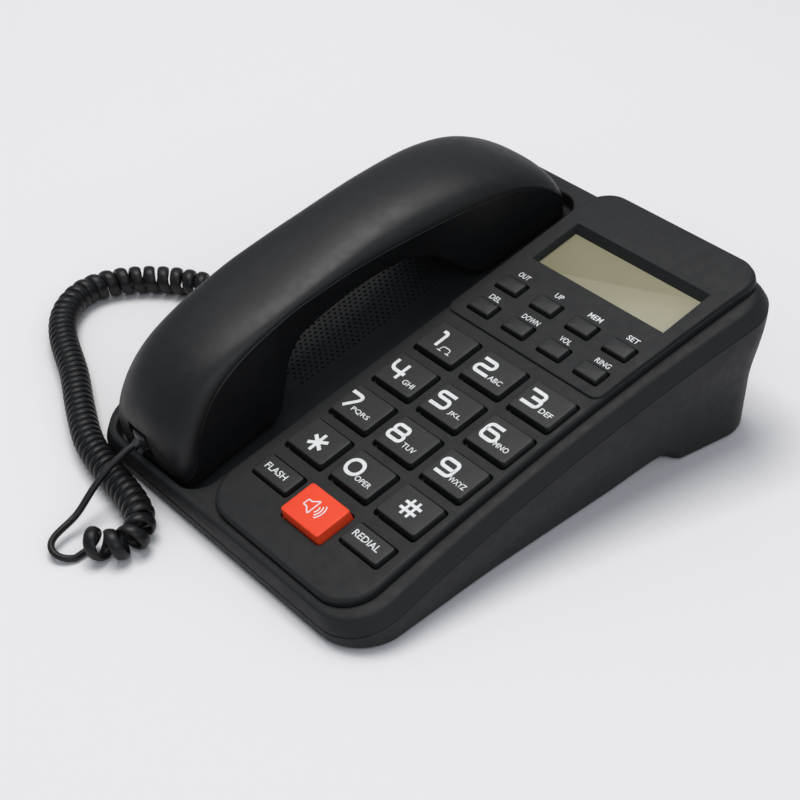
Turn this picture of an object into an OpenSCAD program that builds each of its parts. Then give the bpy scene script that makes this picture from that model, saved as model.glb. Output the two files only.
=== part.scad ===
// Corded desk telephone. A sloping base carries a keypad, a display and a
// cradle, and the handset in the cradle hangs on a curly cord.
// Millimetres. The origin is on the table under the middle of the base, with
// X to the right, Y to the rear and Z up.

/* [Base] */
// Width of the base at its widest places
base_w = 166; // [163:1:172]
// Length of the base from front to rear
base_l = 202; // [200:1:208]
// Slope of the top from front to rear, in degrees
tilt = 14; // [12:0.5:16]
// Height of the shoulder at the front edge over the underside of the case
case_front_h = 10.7; // [10.5:0.1:14]
// How far the sides are drawn in at the middle of the length
waist = 4; // [1:0.5:5]
// Corner radius at the front
front_r = 20; // [14:1:24]
// Corner radius at the rear
rear_r = 17.5; // [14:0.5:22]
// How far the parting line of the case lies under the shoulder
part_drop = 6.2; // [5.4:0.1:7]
// How far the side walls are drawn in between the parting line and the rear foot
wall_flare = 6; // [4:0.5:7]
// Thickness of the case walls
wall = 2.2; // [1.6:0.1:2.6]
// Thickness of the bottom of the case
floor_t = 2; // [1.6:0.1:2.4]
// Height of the rubber feet
foot_h = 1; // [0.6:0.1:2]
// Diameter of a rubber foot
foot_d = 12; // [8:1:14]

/* [Deck] */
// Width of the raised deck that carries the keys
deck_w = 85.6; // [84:0.2:87]
// Distance from the rear end of the deck to the rear edge of the base, along the slope
deck_end = 0.8; // [0.6:0.1:3]
// Height of the deck over the shoulder
deck_h = 3; // [2:0.2:4]
// Corner radius of the deck at the front
deck_r = 16; // [10:1:20]
// Corner radius of the deck at the rear
deck_rear_r = 12; // [8:1:16]
// How far the right side of the deck is drawn in at the middle
deck_waist = 2.6; // [0:0.2:3.4]
// Thickness of the top wall of the deck
deck_t = 2.2; // [1.6:0.1:2.4]

/* [Keys] */
// Distance between the columns of number keys
column_pitch = 26; // [25:0.2:26.4]
// Distance between the rows of number keys
row_pitch = 20.7; // [19.6:0.1:21]
// Width of the top of a number key
key_w = 20.6; // [17:0.2:21]
// Length of the top of a number key
key_l = 15.2; // [12:0.2:15.4]
// How far a number key stands over the deck
key_rise = 2; // [1.8:0.1:3]
// Width of the top of the speaker key
speaker_key_w = 21.4; // [18:0.2:22]
// Length of the top of the speaker key
speaker_key_l = 15.2; // [12:0.2:15.6]
// How far the speaker key stands over the deck
speaker_key_rise = 3.5; // [2:0.1:4]
// Width of the two keys beside the speaker key
function_key_w = 19.6; // [16:0.2:20]
// Length of the two keys beside the speaker key
function_key_l = 9; // [7:0.2:10]
// How far those two keys stand over the deck
function_key_rise = 1.8; // [1.6:0.1:3]
// Distance between the columns of display keys
small_pitch = 19.3; // [17:0.1:19.6]
// Distance between the two rows of display keys
small_row_pitch = 14.3; // [12:0.1:14.6]
// Width of a display key
small_key_w = 11; // [8:0.2:12]
// Length of a display key
small_key_l = 6; // [5:0.2:7]
// How far a display key stands over the display panel
small_key_rise = 1.2; // [1.1:0.1:2]
// How far each key travels when it is pressed
key_travel = 1; // [0.6:0.1:1]

/* [Display] */
// Height of the display panel over the deck
panel_h = 1; // [0.6:0.1:1.6]
// Place of the front edge of the panel along the slope
panel_front = 122.6; // [121.6:0.2:123.6]
// Width of the visible display
lcd_w = 63.5; // [50:0.5:64]
// Length of the visible display
lcd_l = 21.3; // [16:0.1:22]
// Depth of the display under the deck
lcd_drop = 5; // [3.6:0.2:5.4]

/* [Cradle and handset] */
// Depth of the cradle under the shoulder
tub_depth = 6.8; // [5.6:0.1:7]
// Thickness of the cradle walls
tub_t = 1.6; // [1.2:0.1:1.8]
// Width of the cradle
tub_w = 59.5; // [57:0.5:60]
// Length of the handset
handset_l = 192.6; // [188:0.2:193]
// Width of the handset
handset_w = 50; // [46:0.5:52]
// How far the grip of the handset is narrower on each side
grip_in = 3.6; // [0:0.2:4]
// Height of the top of the handset over the shoulder
handset_top = 41; // [40:0.5:44]
// Height of the finger arch under the grip, over the shoulder
arch_h = 20; // [15:0.5:21]
// Thickness of the handset shells
handset_t = 2; // [1.6:0.1:2.4]
// Hole diameter of the speaker grille
grille_d = 2.4; // [1.6:0.1:3]
// Distance between the grille holes in a row
grille_pitch = 7; // [6:0.1:9]
// Diameter of the loudspeaker
speaker_d = 50; // [40:1:52]
// Diameter of the handset receiver
receiver_d = 30; // [24:1:32]
// How far the hook plunger rises when the handset is lifted
hook_travel = 4; // [2:0.5:4]

/* [Cord] */
// Outer diameter of the curls
curl_od = 12; // [11.6:0.1:12.2]
// Thickness of the cord in the curls
wire_d = 2.4; // [2:0.1:2.5]
// Thickness of the straight cord at both ends
lead_d = 2.6; // [2:0.1:2.8]

/* [Fits] */
// Gap round a key in its opening
key_gap = 0.35; // [0.25:0.05:0.5]
// Gap between pieces that are laid into each other
fit_gap = 0.25; // [0.15:0.05:0.3]
// Gap between the handset and the floor of the cradle
rest_gap = 0.1; // [0.05:0.05:0.3]

/* [Hidden] */
// How finely round shapes are drawn
$fn = 48;
case_z = foot_h;
shoulder_z = case_z + case_front_h;
front_y = -base_l / 2;
floor_top = case_z + floor_t;
eps = 0.01;

// The deck and what lies on it, in slope places [across, up the slope]
deck_right = base_w / 2 - 8.7;
deck_x = deck_right - deck_w / 2;
key_x = deck_x + 0.5;
deck_s = 4;
deck_l = base_l / cos(tilt) - deck_s - deck_end;
deck_under = deck_h - deck_t;
deck_skirt = 4.5;
panel_top = deck_h + panel_h;
number_row_s = 47.4;
speaker_key_s = 25.7;
function_key_x = 25.7;
function_key_s = 28.6;
small_row_s = panel_front + 8.8;
small_x = key_x - 0.8;
lcd_x = key_x + 1.9;
lcd_s = panel_front + 48.6;
lcd_h = deck_h - lcd_drop;

// The board under the keys and the mats on it
board_t = 1.6;
board_h = -5.4;
board_w = deck_w - 10.6;
board_x = key_x + 0.5;
board_s = 13;
board_l = 143;
mat_t = 0.8;
dome_h = 0.5;
stem_h = board_h + mat_t + dome_h + key_travel + 0.3;
post_d = 5;
post_s = [17.5, 123];
post_x = [key_x - 32, key_x + 32];

// The cradle and the handset in it
tub_right = deck_x - deck_w / 2 - 3;
tub_x = tub_right - tub_w / 2;
tub_s = 3.2;
tub_r = 10;
handset_x = tub_right - 31;
handset_s = tub_s + 0.6;
handset_under = rest_gap - tub_depth;
tub_l = handset_l + 2.6;
grille_x = handset_x - 3;
grille_s = 103.5;
grille_w = 28;
grille_l = 72;

// The hook switch under the ear end of the cradle, in plan places
hook_x = handset_x;
hook_s = 168;
hook_y = front_y + hook_s * cos(tilt) + tub_depth * sin(tilt);
main_board_z = 18;
main_board_top = main_board_z + board_t;
plunger_w = 9;
plunger_l = 7;
flange_d = 12;
flange_t = 1.5;
stem_d = 4;
tub_under_z = slope_z(hook_y - flange_d / 2) - (tub_depth + tub_t) / cos(tilt);
flange_z = tub_under_z - hook_travel - flange_t - 0.3;
seat_z = flange_z - 8.1;

// The loudspeaker under the grille
speaker_seat_t = 1.2;
speaker_rim_t = 3;
speaker_h = -tub_depth - tub_t - speaker_seat_t;
retainer_t = 1.6;
retainer_h = speaker_h - speaker_rim_t;
window_t = 1.2;
lcd_t = 4;
spring_turns = 4;
spring_r = 4.2;
spring_wire = 0.8;
plug_out = 8;
nose_depth = 1.6;
handset_plug_out = 3.4;
magnet_d = 28;
magnet_h = 9;

// Screws, jacks and plugs
screw_y = [-72, 84];
left_screw_x = tub_right + tub_t + 3.7;
right_screw_x = [base_w / 2 - 9, base_w / 2 - 12];
boss_d = 7;
boss_top = floor_top + 5;
shank_d = 3;
head_d = 5.6;
standoff_x = [hook_x - 16.7, hook_x + 25.3];
standoff_y = [35, 78];
jack_w = 12;
jack_h = 11;
jack_l = 13;
plug_w = 7.7;
plug_h = 6.6;
plug_gap = 0.3;
line_plug_w = 9.7;
cord_jack_y = 16;
cord_jack_x = 22 - base_w / 2;
cord_jack_z = floor_top + jack_h / 2;
line_jack_x = hook_x + 22.3;
jack_front = 2.4;
handset_jack_h = 8.8;

// Route of the middle of the curls, on the table
coil_route = [
    [-26.4, -137], [-21, -134.2], [-16.8, -129.4], [-16.4, -122.6], [-21.8, -116.6],
    [-30, -113.2], [-40, -111.2], [-60, -108.6], [-77.2, -104.8], [-97.8, -96.2],
    [-120, -85.8], [-145.4, -75.8], [-160.2, -66.6], [-168.6, -55.6], [-170.6, -45.8],
    [-168, -36], [-162, -26.6], [-154, -18.6], [-145, -12.6], [-136, -8]
];
coil_r = (curl_od - wire_d) / 2;
coil_z = curl_od / 2 + 0.1;
// Pitch of the curls by distance along the route, open at both ends
curl_pitch = [
    [0, 7.2], [14, 7.2], [22, 7], [32, 5.2], [40, 4.2], [50, 3.75], [168, 3.75],
    [178, 4.4], [192, 5], [205, 6], [300, 6]
];

// Route of the straight cord from the handset to the curls
handset_lead_route = [
    [-45, -111.6, 17.4], [-44, -118.4, 14.3], [-42.2, -125.2, 10.6], [-40.1, -131.3, 6.9],
    [-39.4, -137.2, 4.9], [-36.3, -145.5, 4.5], [-31, -147.7, 3.2], [-26.9, -145.5, 2]
];
// Route of the straight cord from the curls to the base
base_lead_route = [
    [-137.6, -1.4, 1.5], [-134.6, 5, 1.5], [-127, 10, 1.5], [-115, 13.4, 1.6],
    [-104, 15.2, 3], [-95, 15.8, 5.6]
];

// Colours
case_colour = [0.27, 0.28, 0.29];
key_colour = [0.32, 0.32, 0.33];
board_colour = [0.12, 0.35, 0.2];
steel_colour = [0.75, 0.75, 0.77];

// Basic places and shapes

// Height of the shoulder plane over a plan place y
function slope_z(y) = shoulder_z + (y - front_y) * tan(tilt);

// A slope place [across, up the slope, off the shoulder plane] as a plan place
function from_slope(p) = [
    p[0],
    front_y + p[1] * cos(tilt) - p[2] * sin(tilt),
    shoulder_z + p[1] * sin(tilt) + p[2] * cos(tilt)
];

module on_slope() {
    translate([0, front_y, shoulder_z])
        rotate([tilt, 0, 0])
            children();
}

function mix(a, b, t) = a + (b - a) * t;
function smooth(t) = let (u = min(1, max(0, t))) u * u * (3 - 2 * u);

// A closed solid through rings with equal counts of points, from low to high.
// Point i of a ring lies across from point n - 1 - i, so the ends are strips.
module loft(rings) {
    n = len(rings[0]);
    top = (len(rings) - 1) * n;
    points = [for (r = rings) each r];
    walls = [
        for (k = [0 : len(rings) - 2])
            for (i = [0 : n - 1])
                let (a = k * n + i, b = k * n + (i + 1) % n)
                    each [[a, a + n, b + n], [a, b + n, b]]
    ];
    ends = [
        for (i = [0 : floor(n / 2) - 1])
            let (j = n - 1 - i)
                each concat(
                    [[i, i + 1, j], [top + j, top + i + 1, top + i]],
                    j - 1 > i + 1 ? [[i + 1, j - 1, j], [top + j, top + j - 1, top + i + 1]] : []
                )
    ];
    polyhedron(points, concat(walls, [for (f = ends) if (f[0] != f[1] && f[1] != f[2]) f]));
}

// Outline of a rectangle with round corners, round its middle
function round_rect(w, l, r, steps = 4) = [
    for (c = [[1, -1, -90], [1, 1, 0], [-1, 1, 90], [-1, -1, 180]])
        for (k = [0 : steps])
            let (a = c[2] + 90 * k / steps)
                [c[0] * (w / 2 - r) + r * cos(a), c[1] * (l / 2 - r) + r * sin(a)]
];

module round_plate(w, l, r, low, high) {
    translate([0, 0, low])
        linear_extrude(high - low)
            polygon(round_rect(w, l, r));
}

// Outline of the case

corner_steps = 6;
wide_y = base_l / 2 - 18;
foot_y = 58.5;
side_y = [-60, -42, -24, -3, 14, 25, 33, 41, 48, 54, foot_y, 62, 72];

function half_w(y) = base_w / 2 - waist * (1 - pow(y / wide_y, 2));
function part_z(y) = slope_z(y) - part_drop / cos(tilt);

// Right side of an outline from front to rear as [y, set in by the corner]
function side_stations(front_in, rear_in) = let (
    f = front_y + front_in + front_r,
    r = -front_y - rear_in - rear_r
) concat(
    [
        for (k = [0 : corner_steps])
            let (a = 90 - 90 * k / corner_steps)
                [f - front_r * sin(a), front_r * (1 - cos(a))]
    ],
    [for (y = side_y) [y, 0]],
    [
        for (k = [0 : corner_steps])
            let (a = 90 * k / corner_steps)
                [r + rear_r * sin(a), rear_r * (1 - cos(a))]
    ]
);

// A right side of [x, y, z] points and its mirror image as one ring
function mirrored(side) = concat(
    side,
    [for (i = [len(side) - 1 : -1 : 0]) [-side[i][0], side[i][1], side[i][2]]]
);

// The crease over the drawn in sides, as [y, height over the underside]
crease_line = [
    [-84, 1.4], [-60, 3.2], [-42, 5.8], [-24, 10.8], [-3, 17.3], [14, 20], [25, 20.5],
    [33, 19.3], [41, 17], [48, 12.4], [54, 6.3], [foot_y, 2], [62, 17], [90, 17]
];
// How far the side is drawn in at the underside, as [y, distance]
underside_in = [
    [-84, 1], [-60, 1.9], [-42, 3], [-3, 5.4], [14, 6.8], [25, 7.9], [33, 9], [41, 10.2],
    [54, 11.7], [foot_y, 6.3], [72, 6.2], [90, 6.6]
];

function flare_in(drop) = wall_flare * smooth(drop / 36);
function crease_z(y) = case_z + lookup(y, crease_line);

// How far the side of the bottom case is drawn in at a place
function lower_in(y, z) = let (
    zc = crease_z(y),
    at_crease = flare_in(part_z(y) - zc)
) z >= zc
    ? flare_in(part_z(y) - z)
    : mix(at_crease, lookup(y, underside_in), pow((zc - z) / (zc - case_z), 0.8));

// One ring of the bottom case: level 0 is its underside, 1 the crease, 2 the
// parting line
function lower_ring(level, inset, low, over = 0) = mirrored([
    for (p = side_stations(0.7 * (1 - level / 2) + inset, 2.4 * (1 - level / 2) + inset))
        let (
            y = p[0],
            zc = max(crease_z(y), low + 0.3),
            z = level < 1 ? mix(low, zc, level) : mix(zc, part_z(y), level - 1)
        )
            [half_w(y) - lower_in(y, z) - inset - p[1], y, z + over]
]);

function upper_ring(drop, inset, front_in, rear_in) = mirrored([
    for (p = side_stations(front_in, rear_in))
        [half_w(p[0]) - inset - p[1], p[0], slope_z(p[0]) - drop / cos(tilt)]
]);

// Outline of the deck on the slope, drawn in by a distance

function deck_half(s) = let (
    mid = deck_s + deck_l / 2,
    t = (s - mid) / (0.42 * deck_l)
) deck_w / 2 - deck_waist * (1 - t * t);

function deck_outline(inset, front = deck_s, r = deck_r, rear_in = 0) = let (
    f = front + inset + r,
    b = deck_s + deck_l - inset - rear_in - deck_rear_r,
    side = concat(
        [
            for (k = [0 : 5])
                let (a = 90 - 18 * k)
                    [f - r * sin(a), r * (1 - cos(a))]
        ],
        [for (k = [1 : 5]) [mix(f, b, k / 6), 0]],
        [
            for (k = [0 : 5])
                let (a = 18 * k)
                    [b + deck_rear_r * sin(a), deck_rear_r * (1 - cos(a))]
        ]
    ),
    last = len(side) - 1
) concat(
    [for (p = side) [deck_x + deck_half(p[0]) - inset - p[1], p[0]]],
    [for (i = [0 : last]) let (p = side[last - i]) [deck_x - deck_w / 2 + inset + p[1], p[0]]]
);

function at_height(outline, h) = [for (p = outline) [p[0], p[1], h]];

// Keys, as [name, x, s, width, length, top, round corner]

function number_key(column, row) = [
    key_x + (column - 1) * column_pitch,
    number_row_s + row * row_pitch,
    key_w, key_l, deck_h + key_rise, 2
];

function function_key(side) = [
    key_x + side * function_key_x, function_key_s,
    function_key_w, function_key_l, deck_h + function_key_rise, 1.6
];

function small_key(column, row) = [
    small_x + (column - 1.5) * small_pitch,
    small_row_s + row * small_row_pitch,
    small_key_w, small_key_l, panel_top + small_key_rise, 1
];

speaker_key_place = [
    key_x + 0.6, speaker_key_s, speaker_key_w, speaker_key_l, deck_h + speaker_key_rise, 2.4
];
number_keys = [for (row = [0 : 3]) for (column = [0 : 2]) number_key(column, row)];
small_keys = [for (row = [0 : 1]) for (column = [0 : 3]) small_key(column, row)];
function_keys = [function_key(-1), function_key(1)];
deck_keys = concat(number_keys, function_keys, [speaker_key_place]);
all_keys = concat(deck_keys, small_keys);
draft = 0.5;
flange = 0.7;
flange_h = 1;

module key_openings(keys, low, high) {
    for (k = keys)
        translate([k[0], k[1], 0])
            round_plate(
                k[2] + 2 * (draft + key_gap), k[3] + 2 * (draft + key_gap),
                k[5] + key_gap, low, high
            );
}

// A key with sloping sides, a flange that holds it under the deck and a stem
module key(k, colour = key_colour) {
    top = k[4];
    low = deck_under - key_gap / 3 - flange_h;
    w = k[2] / 2;
    l = k[3] / 2;
    color(colour)
        on_slope()
            translate([k[0], k[1], 0])
                union() {
                    intersection() {
                        round_plate(2 * (w + draft), 2 * (l + draft), k[5], low + 0.2, top);
                        rotate([90, 0, 0])
                            linear_extrude(4 * l, center = true)
                                polygon([
                                    [-w - draft, low], [w + draft, low], [w + draft, deck_under],
                                    [w, top], [-w, top], [-w - draft, deck_under]
                                ]);
                        rotate([90, 0, 90])
                            linear_extrude(4 * w, center = true)
                                polygon([
                                    [-l - draft, low], [l + draft, low], [l + draft, deck_under],
                                    [l, top], [-l, top], [-l - draft, deck_under]
                                ]);
                    }
                    translate([-w - draft - flange, -l - draft - flange, low])
                        cube([2 * (w + draft + flange), 2 * (l + draft + flange), flange_h]);
                    translate([0, 0, stem_h])
                        cylinder(d = 4, h = low - stem_h + 0.2, $fn = 8);
                }
}

// Top case: shoulder, deck and cradle

module deck_shape() {
    loft([
        at_height(deck_outline(1.2), -deck_skirt),
        at_height(deck_outline(0), 0),
        at_height(deck_outline(0), deck_h - 1.2),
        at_height(deck_outline(0.5), deck_h - 0.4),
        at_height(deck_outline(1.5), deck_h)
    ]);
}

module deck_hollow() {
    translate([0, 0, -deck_skirt - 1])
        linear_extrude(deck_skirt + 1 + deck_under)
            polygon(deck_outline(1.7, rear_in = 1.6));
}

module tub_shape(grow, low, high) {
    translate([tub_x, tub_s + tub_l / 2, 0])
        round_plate(tub_w + 2 * grow, tub_l + 2 * grow, tub_r + grow, low, high);
}

module grille_holes() {
    columns = floor(grille_w / (grille_pitch * 0.87));
    rows = floor(grille_l / grille_pitch);
    for (i = [0 : columns - 1])
        for (j = [0 : rows - 1])
            translate([
                grille_x + (i - (columns - 1) / 2) * grille_pitch * 0.87,
                grille_s + (j - (rows - 1) / 2 + (i % 2 == 0 ? 0.25 : -0.25)) * grille_pitch,
                -tub_depth - tub_t - 1
            ])
                cylinder(d = grille_d, h = tub_t + 2, $fn = 6);
}

module lcd_hole(grow) {
    translate([lcd_x, lcd_s + 1.3, 0])
        round_plate(lcd_w + 11 + 2 * grow, lcd_l + 9.4 + 2 * grow, 1.5, -8, panel_top + 2);
}

module screw_place(i) {
    y = screw_y[floor(i / 2)];
    x = i % 2 == 0 ? left_screw_x : right_screw_x[floor(i / 2)];
    translate([x, y, 0])
        children();
}

module top_case() {
    color(case_colour)
        difference() {
            union() {
                difference() {
                    union() {
                        difference() {
                            loft([
                                upper_ring(part_drop, 0, 0, 0),
                                upper_ring(3.4, 1.2, 0.1, 0.9),
                                upper_ring(1.6, 2, 0.3, 2.2),
                                upper_ring(0.5, 2.5, 0.5, 3.6),
                                upper_ring(0, 3.4, 1.2, 4.8)
                            ]);
                            loft([
                                upper_ring(part_drop + 1, wall, wall, wall),
                                upper_ring(3.4, wall + 1.2, wall + 0.1, wall + 0.9),
                                upper_ring(wall, wall + 1.8, wall + 0.2, wall + 2)
                            ]);
                        }
                        on_slope() {
                            deck_shape();
                            tub_shape(tub_t, -tub_depth - tub_t, -1);
                        }
                    }
                    on_slope() {
                        difference() {
                            deck_hollow();
                            tub_shape(tub_t, -20, 5);
                        }
                        tub_shape(0, -tub_depth, 5);
                        grille_holes();
                        key_openings(all_keys, -3, panel_top + 1);
                        lcd_hole(fit_gap);
                    }
                }
                on_slope()
                    board_places(board_h, deck_under + 0.5)
                        cylinder(d = post_d, h = deck_under + 0.5 - board_h, $fn = 16);
                for (i = [0 : 3])
                    screw_place(i)
                        screw_post(screw_y[floor(i / 2)]);
                on_slope()
                    speaker_screws(retainer_h)
                        cylinder(d = 5, h = speaker_seat_t + speaker_rim_t + 0.5, $fn = 16);
                on_slope()
                    translate([grille_x, grille_s, speaker_h])
                        difference() {
                            cylinder(d = speaker_d, h = speaker_seat_t + 0.5);
                            translate([0, 0, -1])
                                cylinder(d = speaker_d - 5, h = speaker_seat_t + 3);
                        }
            }
            translate([hook_x - plunger_w / 2 - fit_gap, hook_y - plunger_l / 2 - fit_gap, 20])
                cube([plunger_w + 2 * fit_gap, plunger_l + 2 * fit_gap, 60]);
            on_slope()
                board_places(board_h - 1, 0)
                    cylinder(d = 2.2, h = deck_under + 1 - board_h, $fn = 12);
            on_slope()
                speaker_screws(-40)
                    cylinder(d = 2.2, h = 40 - tub_depth - tub_t, $fn = 12);
            for (i = [0 : 3])
                screw_place(i)
                    translate([0, 0, boss_top - 1])
                        cylinder(d = shank_d - 0.1, h = 9, $fn = 16);
        }
}

// Posts of the top case

module board_places(low, high) {
    for (x = post_x)
        for (s = post_s)
            translate([x, s, low])
                children();
}

module speaker_screws(low) {
    for (side = [-1, 1])
        translate([grille_x, grille_s + side * (speaker_d / 2 + 4.2), low])
            children();
}

// A post that stands down from the top wall to the boss of the bottom case
module screw_post(y) {
    translate([0, 0, boss_top])
        cylinder(d = boss_d - 1, h = slope_z(y - boss_d / 2) - 1 - boss_top, $fn = 16);
}

// Bottom case

module bottom_case() {
    color(case_colour)
        difference() {
            union() {
                difference() {
                    loft([for (level = [0, 0.5, 1, 1.2, 1.45, 1.7, 2]) lower_ring(level, 0, case_z)]);
                    loft([
                        for (level = [0, 0.5, 1, 1.45])
                            lower_ring(level, wall, floor_top),
                        lower_ring(2, wall, floor_top),
                        lower_ring(2, wall, floor_top, 2)
                    ]);
                }
                for (i = [0 : 3])
                    screw_place(i)
                        translate([0, 0, floor_top - 0.5])
                            cylinder(d = boss_d, h = boss_top - floor_top + 0.5, $fn = 20);
                for (x = standoff_x)
                    for (y = standoff_y)
                        translate([x, y, floor_top - 0.5])
                            cylinder(d = 6, h = main_board_z - floor_top + 0.5, $fn = 16);
            }
            for (i = [0 : 3])
                screw_place(i)
                    union() {
                        translate([0, 0, case_z - 1])
                            cylinder(d = shank_d + 0.4, h = 20, $fn = 16);
                        translate([0, 0, case_z - 1])
                            cylinder(d = head_d + 0.6, h = 4, $fn = 20);
                    }
            for (x = standoff_x)
                for (y = standoff_y)
                    translate([x, y, main_board_z - 9])
                        cylinder(d = 2.2, h = 10, $fn = 12);
            translate([line_jack_x - jack_w / 2 - fit_gap, base_l / 2 - 12, main_board_top - fit_gap])
                cube([jack_w + 2 * fit_gap, 30, jack_h + 2 * fit_gap]);
            translate([-base_w / 2 - 10, cord_jack_y - jack_w / 2 - fit_gap, floor_top])
                cube([base_w / 2 + 10 + cord_jack_x - jack_l + 6, jack_w + 2 * fit_gap, jack_h + fit_gap]);
        }
}

// Display

module display_bezel() {
    color(case_colour)
        on_slope()
            difference() {
                union() {
                    loft([
                        at_height(deck_outline(0.5, panel_front, 4), deck_h),
                        at_height(deck_outline(0.6, panel_front, 4), panel_top - 0.4),
                        at_height(deck_outline(1.2, panel_front, 4), panel_top)
                    ]);
                    translate([lcd_x, lcd_s + 1.3, 0])
                        round_plate(lcd_w + 11, lcd_l + 9.4, 1.5, lcd_h, deck_h + 0.5);
                }
                key_openings(small_keys, -10, panel_top + 1);
                lcd_funnel();
            }
}

// The sloping recess over the display, with its four walls at their own slopes
module lcd_funnel() {
    x0 = lcd_x - lcd_w / 2;
    x1 = lcd_x + lcd_w / 2;
    s0 = lcd_s - lcd_l / 2;
    s1 = lcd_s + lcd_l / 2;
    loft([
        [[x0, s0, lcd_h - 1], [x1, s0, lcd_h - 1], [x1, s1, lcd_h - 1], [x0, s1, lcd_h - 1]],
        [[x0, s0, lcd_h + 1], [x1, s0, lcd_h + 1], [x1, s1, lcd_h + 1], [x0, s1, lcd_h + 1]],
        [
            [x0 - 3.9, s0 - 1.2, panel_top + 0.5], [x1 + 1.8, s0 - 1.2, panel_top + 0.5],
            [x1 + 1.8, s1 + 3.6, panel_top + 0.5], [x0 - 3.9, s1 + 3.6, panel_top + 0.5]
        ]
    ]);
}

module lcd_window() {
    color([0.62, 0.6, 0.5], 0.8)
        on_slope()
            translate([lcd_x, lcd_s + 1.3, 0])
                round_plate(lcd_w + 8, lcd_l + 6.4, 1, lcd_h - window_t, lcd_h);
}

module lcd_module() {
    color([0.5, 0.52, 0.45])
        on_slope()
            translate([lcd_x, lcd_s + 0.6, lcd_h - window_t - lcd_t])
                union() {
                    translate([-lcd_w / 2 - 2, -lcd_l / 2 - 3, 1.6])
                        cube([lcd_w + 4, lcd_l + 6, lcd_t - 1.6]);
                    translate([-lcd_w / 2 - 3.4, -lcd_l / 2 - 4, 0])
                        cube([lcd_w + 6.8, lcd_l + 8, 1.6]);
                }
}

// Boards and mats

module keypad_board() {
    color(board_colour)
        on_slope()
            difference() {
                translate([board_x - board_w / 2, board_s, board_h - board_t])
                    cube([board_w, board_l, board_t]);
                board_places(board_h - board_t - 1, 0)
                    cylinder(d = shank_d - 0.4, h = board_t + 2, $fn = 16);
            }
}

module dome_mat(keys, s0, s1) {
    color([0.2, 0.22, 0.26])
        on_slope()
            union() {
                translate([board_x - board_w / 2 + 1, s0, board_h])
                    cube([board_w - 2, s1 - s0, mat_t]);
                for (k = keys)
                    translate([k[0], k[1], board_h])
                        cylinder(d = 5.4, h = mat_t + dome_h, $fn = 12);
            }
}

module keypad_mat() {
    dome_mat(deck_keys, post_s[0] + post_d / 2 + 0.6, post_s[1] - post_d / 2 - 0.6);
}

module display_key_mat() {
    dome_mat(small_keys, post_s[1] + post_d / 2 + 0.6, board_s + board_l - 1);
}

module main_board() {
    color(board_colour)
        difference() {
            translate([standoff_x[0] - 4, standoff_y[0] - 5, main_board_z])
                cube([
                    standoff_x[1] - standoff_x[0] + 8,
                    base_l / 2 - wall - 6 - standoff_y[0] + 5, board_t
                ]);
            for (x = standoff_x)
                for (y = standoff_y)
                    translate([x, y, main_board_z - 1])
                        cylinder(d = shank_d - 0.4, h = board_t + 2, $fn = 16);
        }
}

// Pan head screw, head up, from its seat at 0 down to -l
module small_screw(l, d, head, head_h) {
    translate([0, 0, -l])
        cylinder(d = d, h = l + 0.2, $fn = 16);
    difference() {
        cylinder(d = head, h = head_h, $fn = 20);
        for (turn = [0, 90])
            rotate([0, 0, turn])
                translate([-head * 0.3, -0.3, head_h * 0.5])
                    cube([head * 0.6, 0.6, head_h]);
    }
}

module board_screws() {
    color(steel_colour) {
        for (x = standoff_x)
            for (y = standoff_y)
                translate([x, y, main_board_top])
                    small_screw(6, 2, 4.4, 1.6);
        on_slope()
            board_places(board_h - board_t, 0)
                rotate([180, 0, 0])
                    small_screw(5, 2, 4.4, 1.4);
        on_slope()
            speaker_screws(retainer_h - retainer_t)
                rotate([180, 0, 0])
                    small_screw(5, 2, 4.4, 1.4);
    }
}

module case_screws() {
    color(steel_colour)
        for (i = [0 : 3])
            screw_place(i)
                translate([0, 0, case_z + 3])
                    rotate([180, 0, 0])
                        small_screw(10, shank_d - 0.2, head_d, 2.2);
}

module rubber_feet() {
    color([0.12, 0.12, 0.12])
        for (x = [-1, 1])
            for (place = [[base_w / 2 - 19, 18], [base_w / 2 - 26, base_l - 17]])
                translate([x * place[0], front_y + place[1], 0])
                    cylinder(d = foot_d, h = foot_h, $fn = 24);
}

// Loudspeaker and microphone of the base

module loudspeaker() {
    color([0.3, 0.3, 0.32])
        on_slope()
            translate([grille_x, grille_s, speaker_h])
                rotate([180, 0, 0])
                    difference() {
                        union() {
                            cylinder(d = speaker_d, h = speaker_rim_t);
                            translate([0, 0, speaker_rim_t - 0.1])
                                cylinder(d1 = speaker_d - 8, d2 = magnet_d, h = 4);
                            translate([0, 0, speaker_rim_t + 2])
                                cylinder(d = magnet_d, h = magnet_h - 2);
                        }
                        translate([0, 0, -1])
                            cylinder(d1 = speaker_d - 6, d2 = 14, h = 5);
                    }
}

module speaker_retainer() {
    color(steel_colour)
        on_slope()
            translate([grille_x, grille_s, retainer_h - retainer_t])
                difference() {
                    hull() {
                        cylinder(d = speaker_d - 2, h = retainer_t);
                        for (side = [-1, 1])
                            translate([0, side * (speaker_d / 2 + 4.2), 0])
                                cylinder(d = 8, h = retainer_t);
                    }
                    translate([0, 0, -1])
                        cylinder(d = speaker_d - 7, h = retainer_t + 2);
                    for (side = [-1, 1])
                        translate([0, side * (speaker_d / 2 + 4.2), -1])
                            cylinder(d = shank_d - 0.4, h = retainer_t + 2, $fn = 16);
                }
}

module speakerphone_microphone() {
    color(steel_colour)
        on_slope()
            translate([key_x, deck_s + 6, deck_under - 4.5])
                cylinder(d = 6, h = 4.5, $fn = 24);
}

// Hook plunger, its spring and its switch

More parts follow.
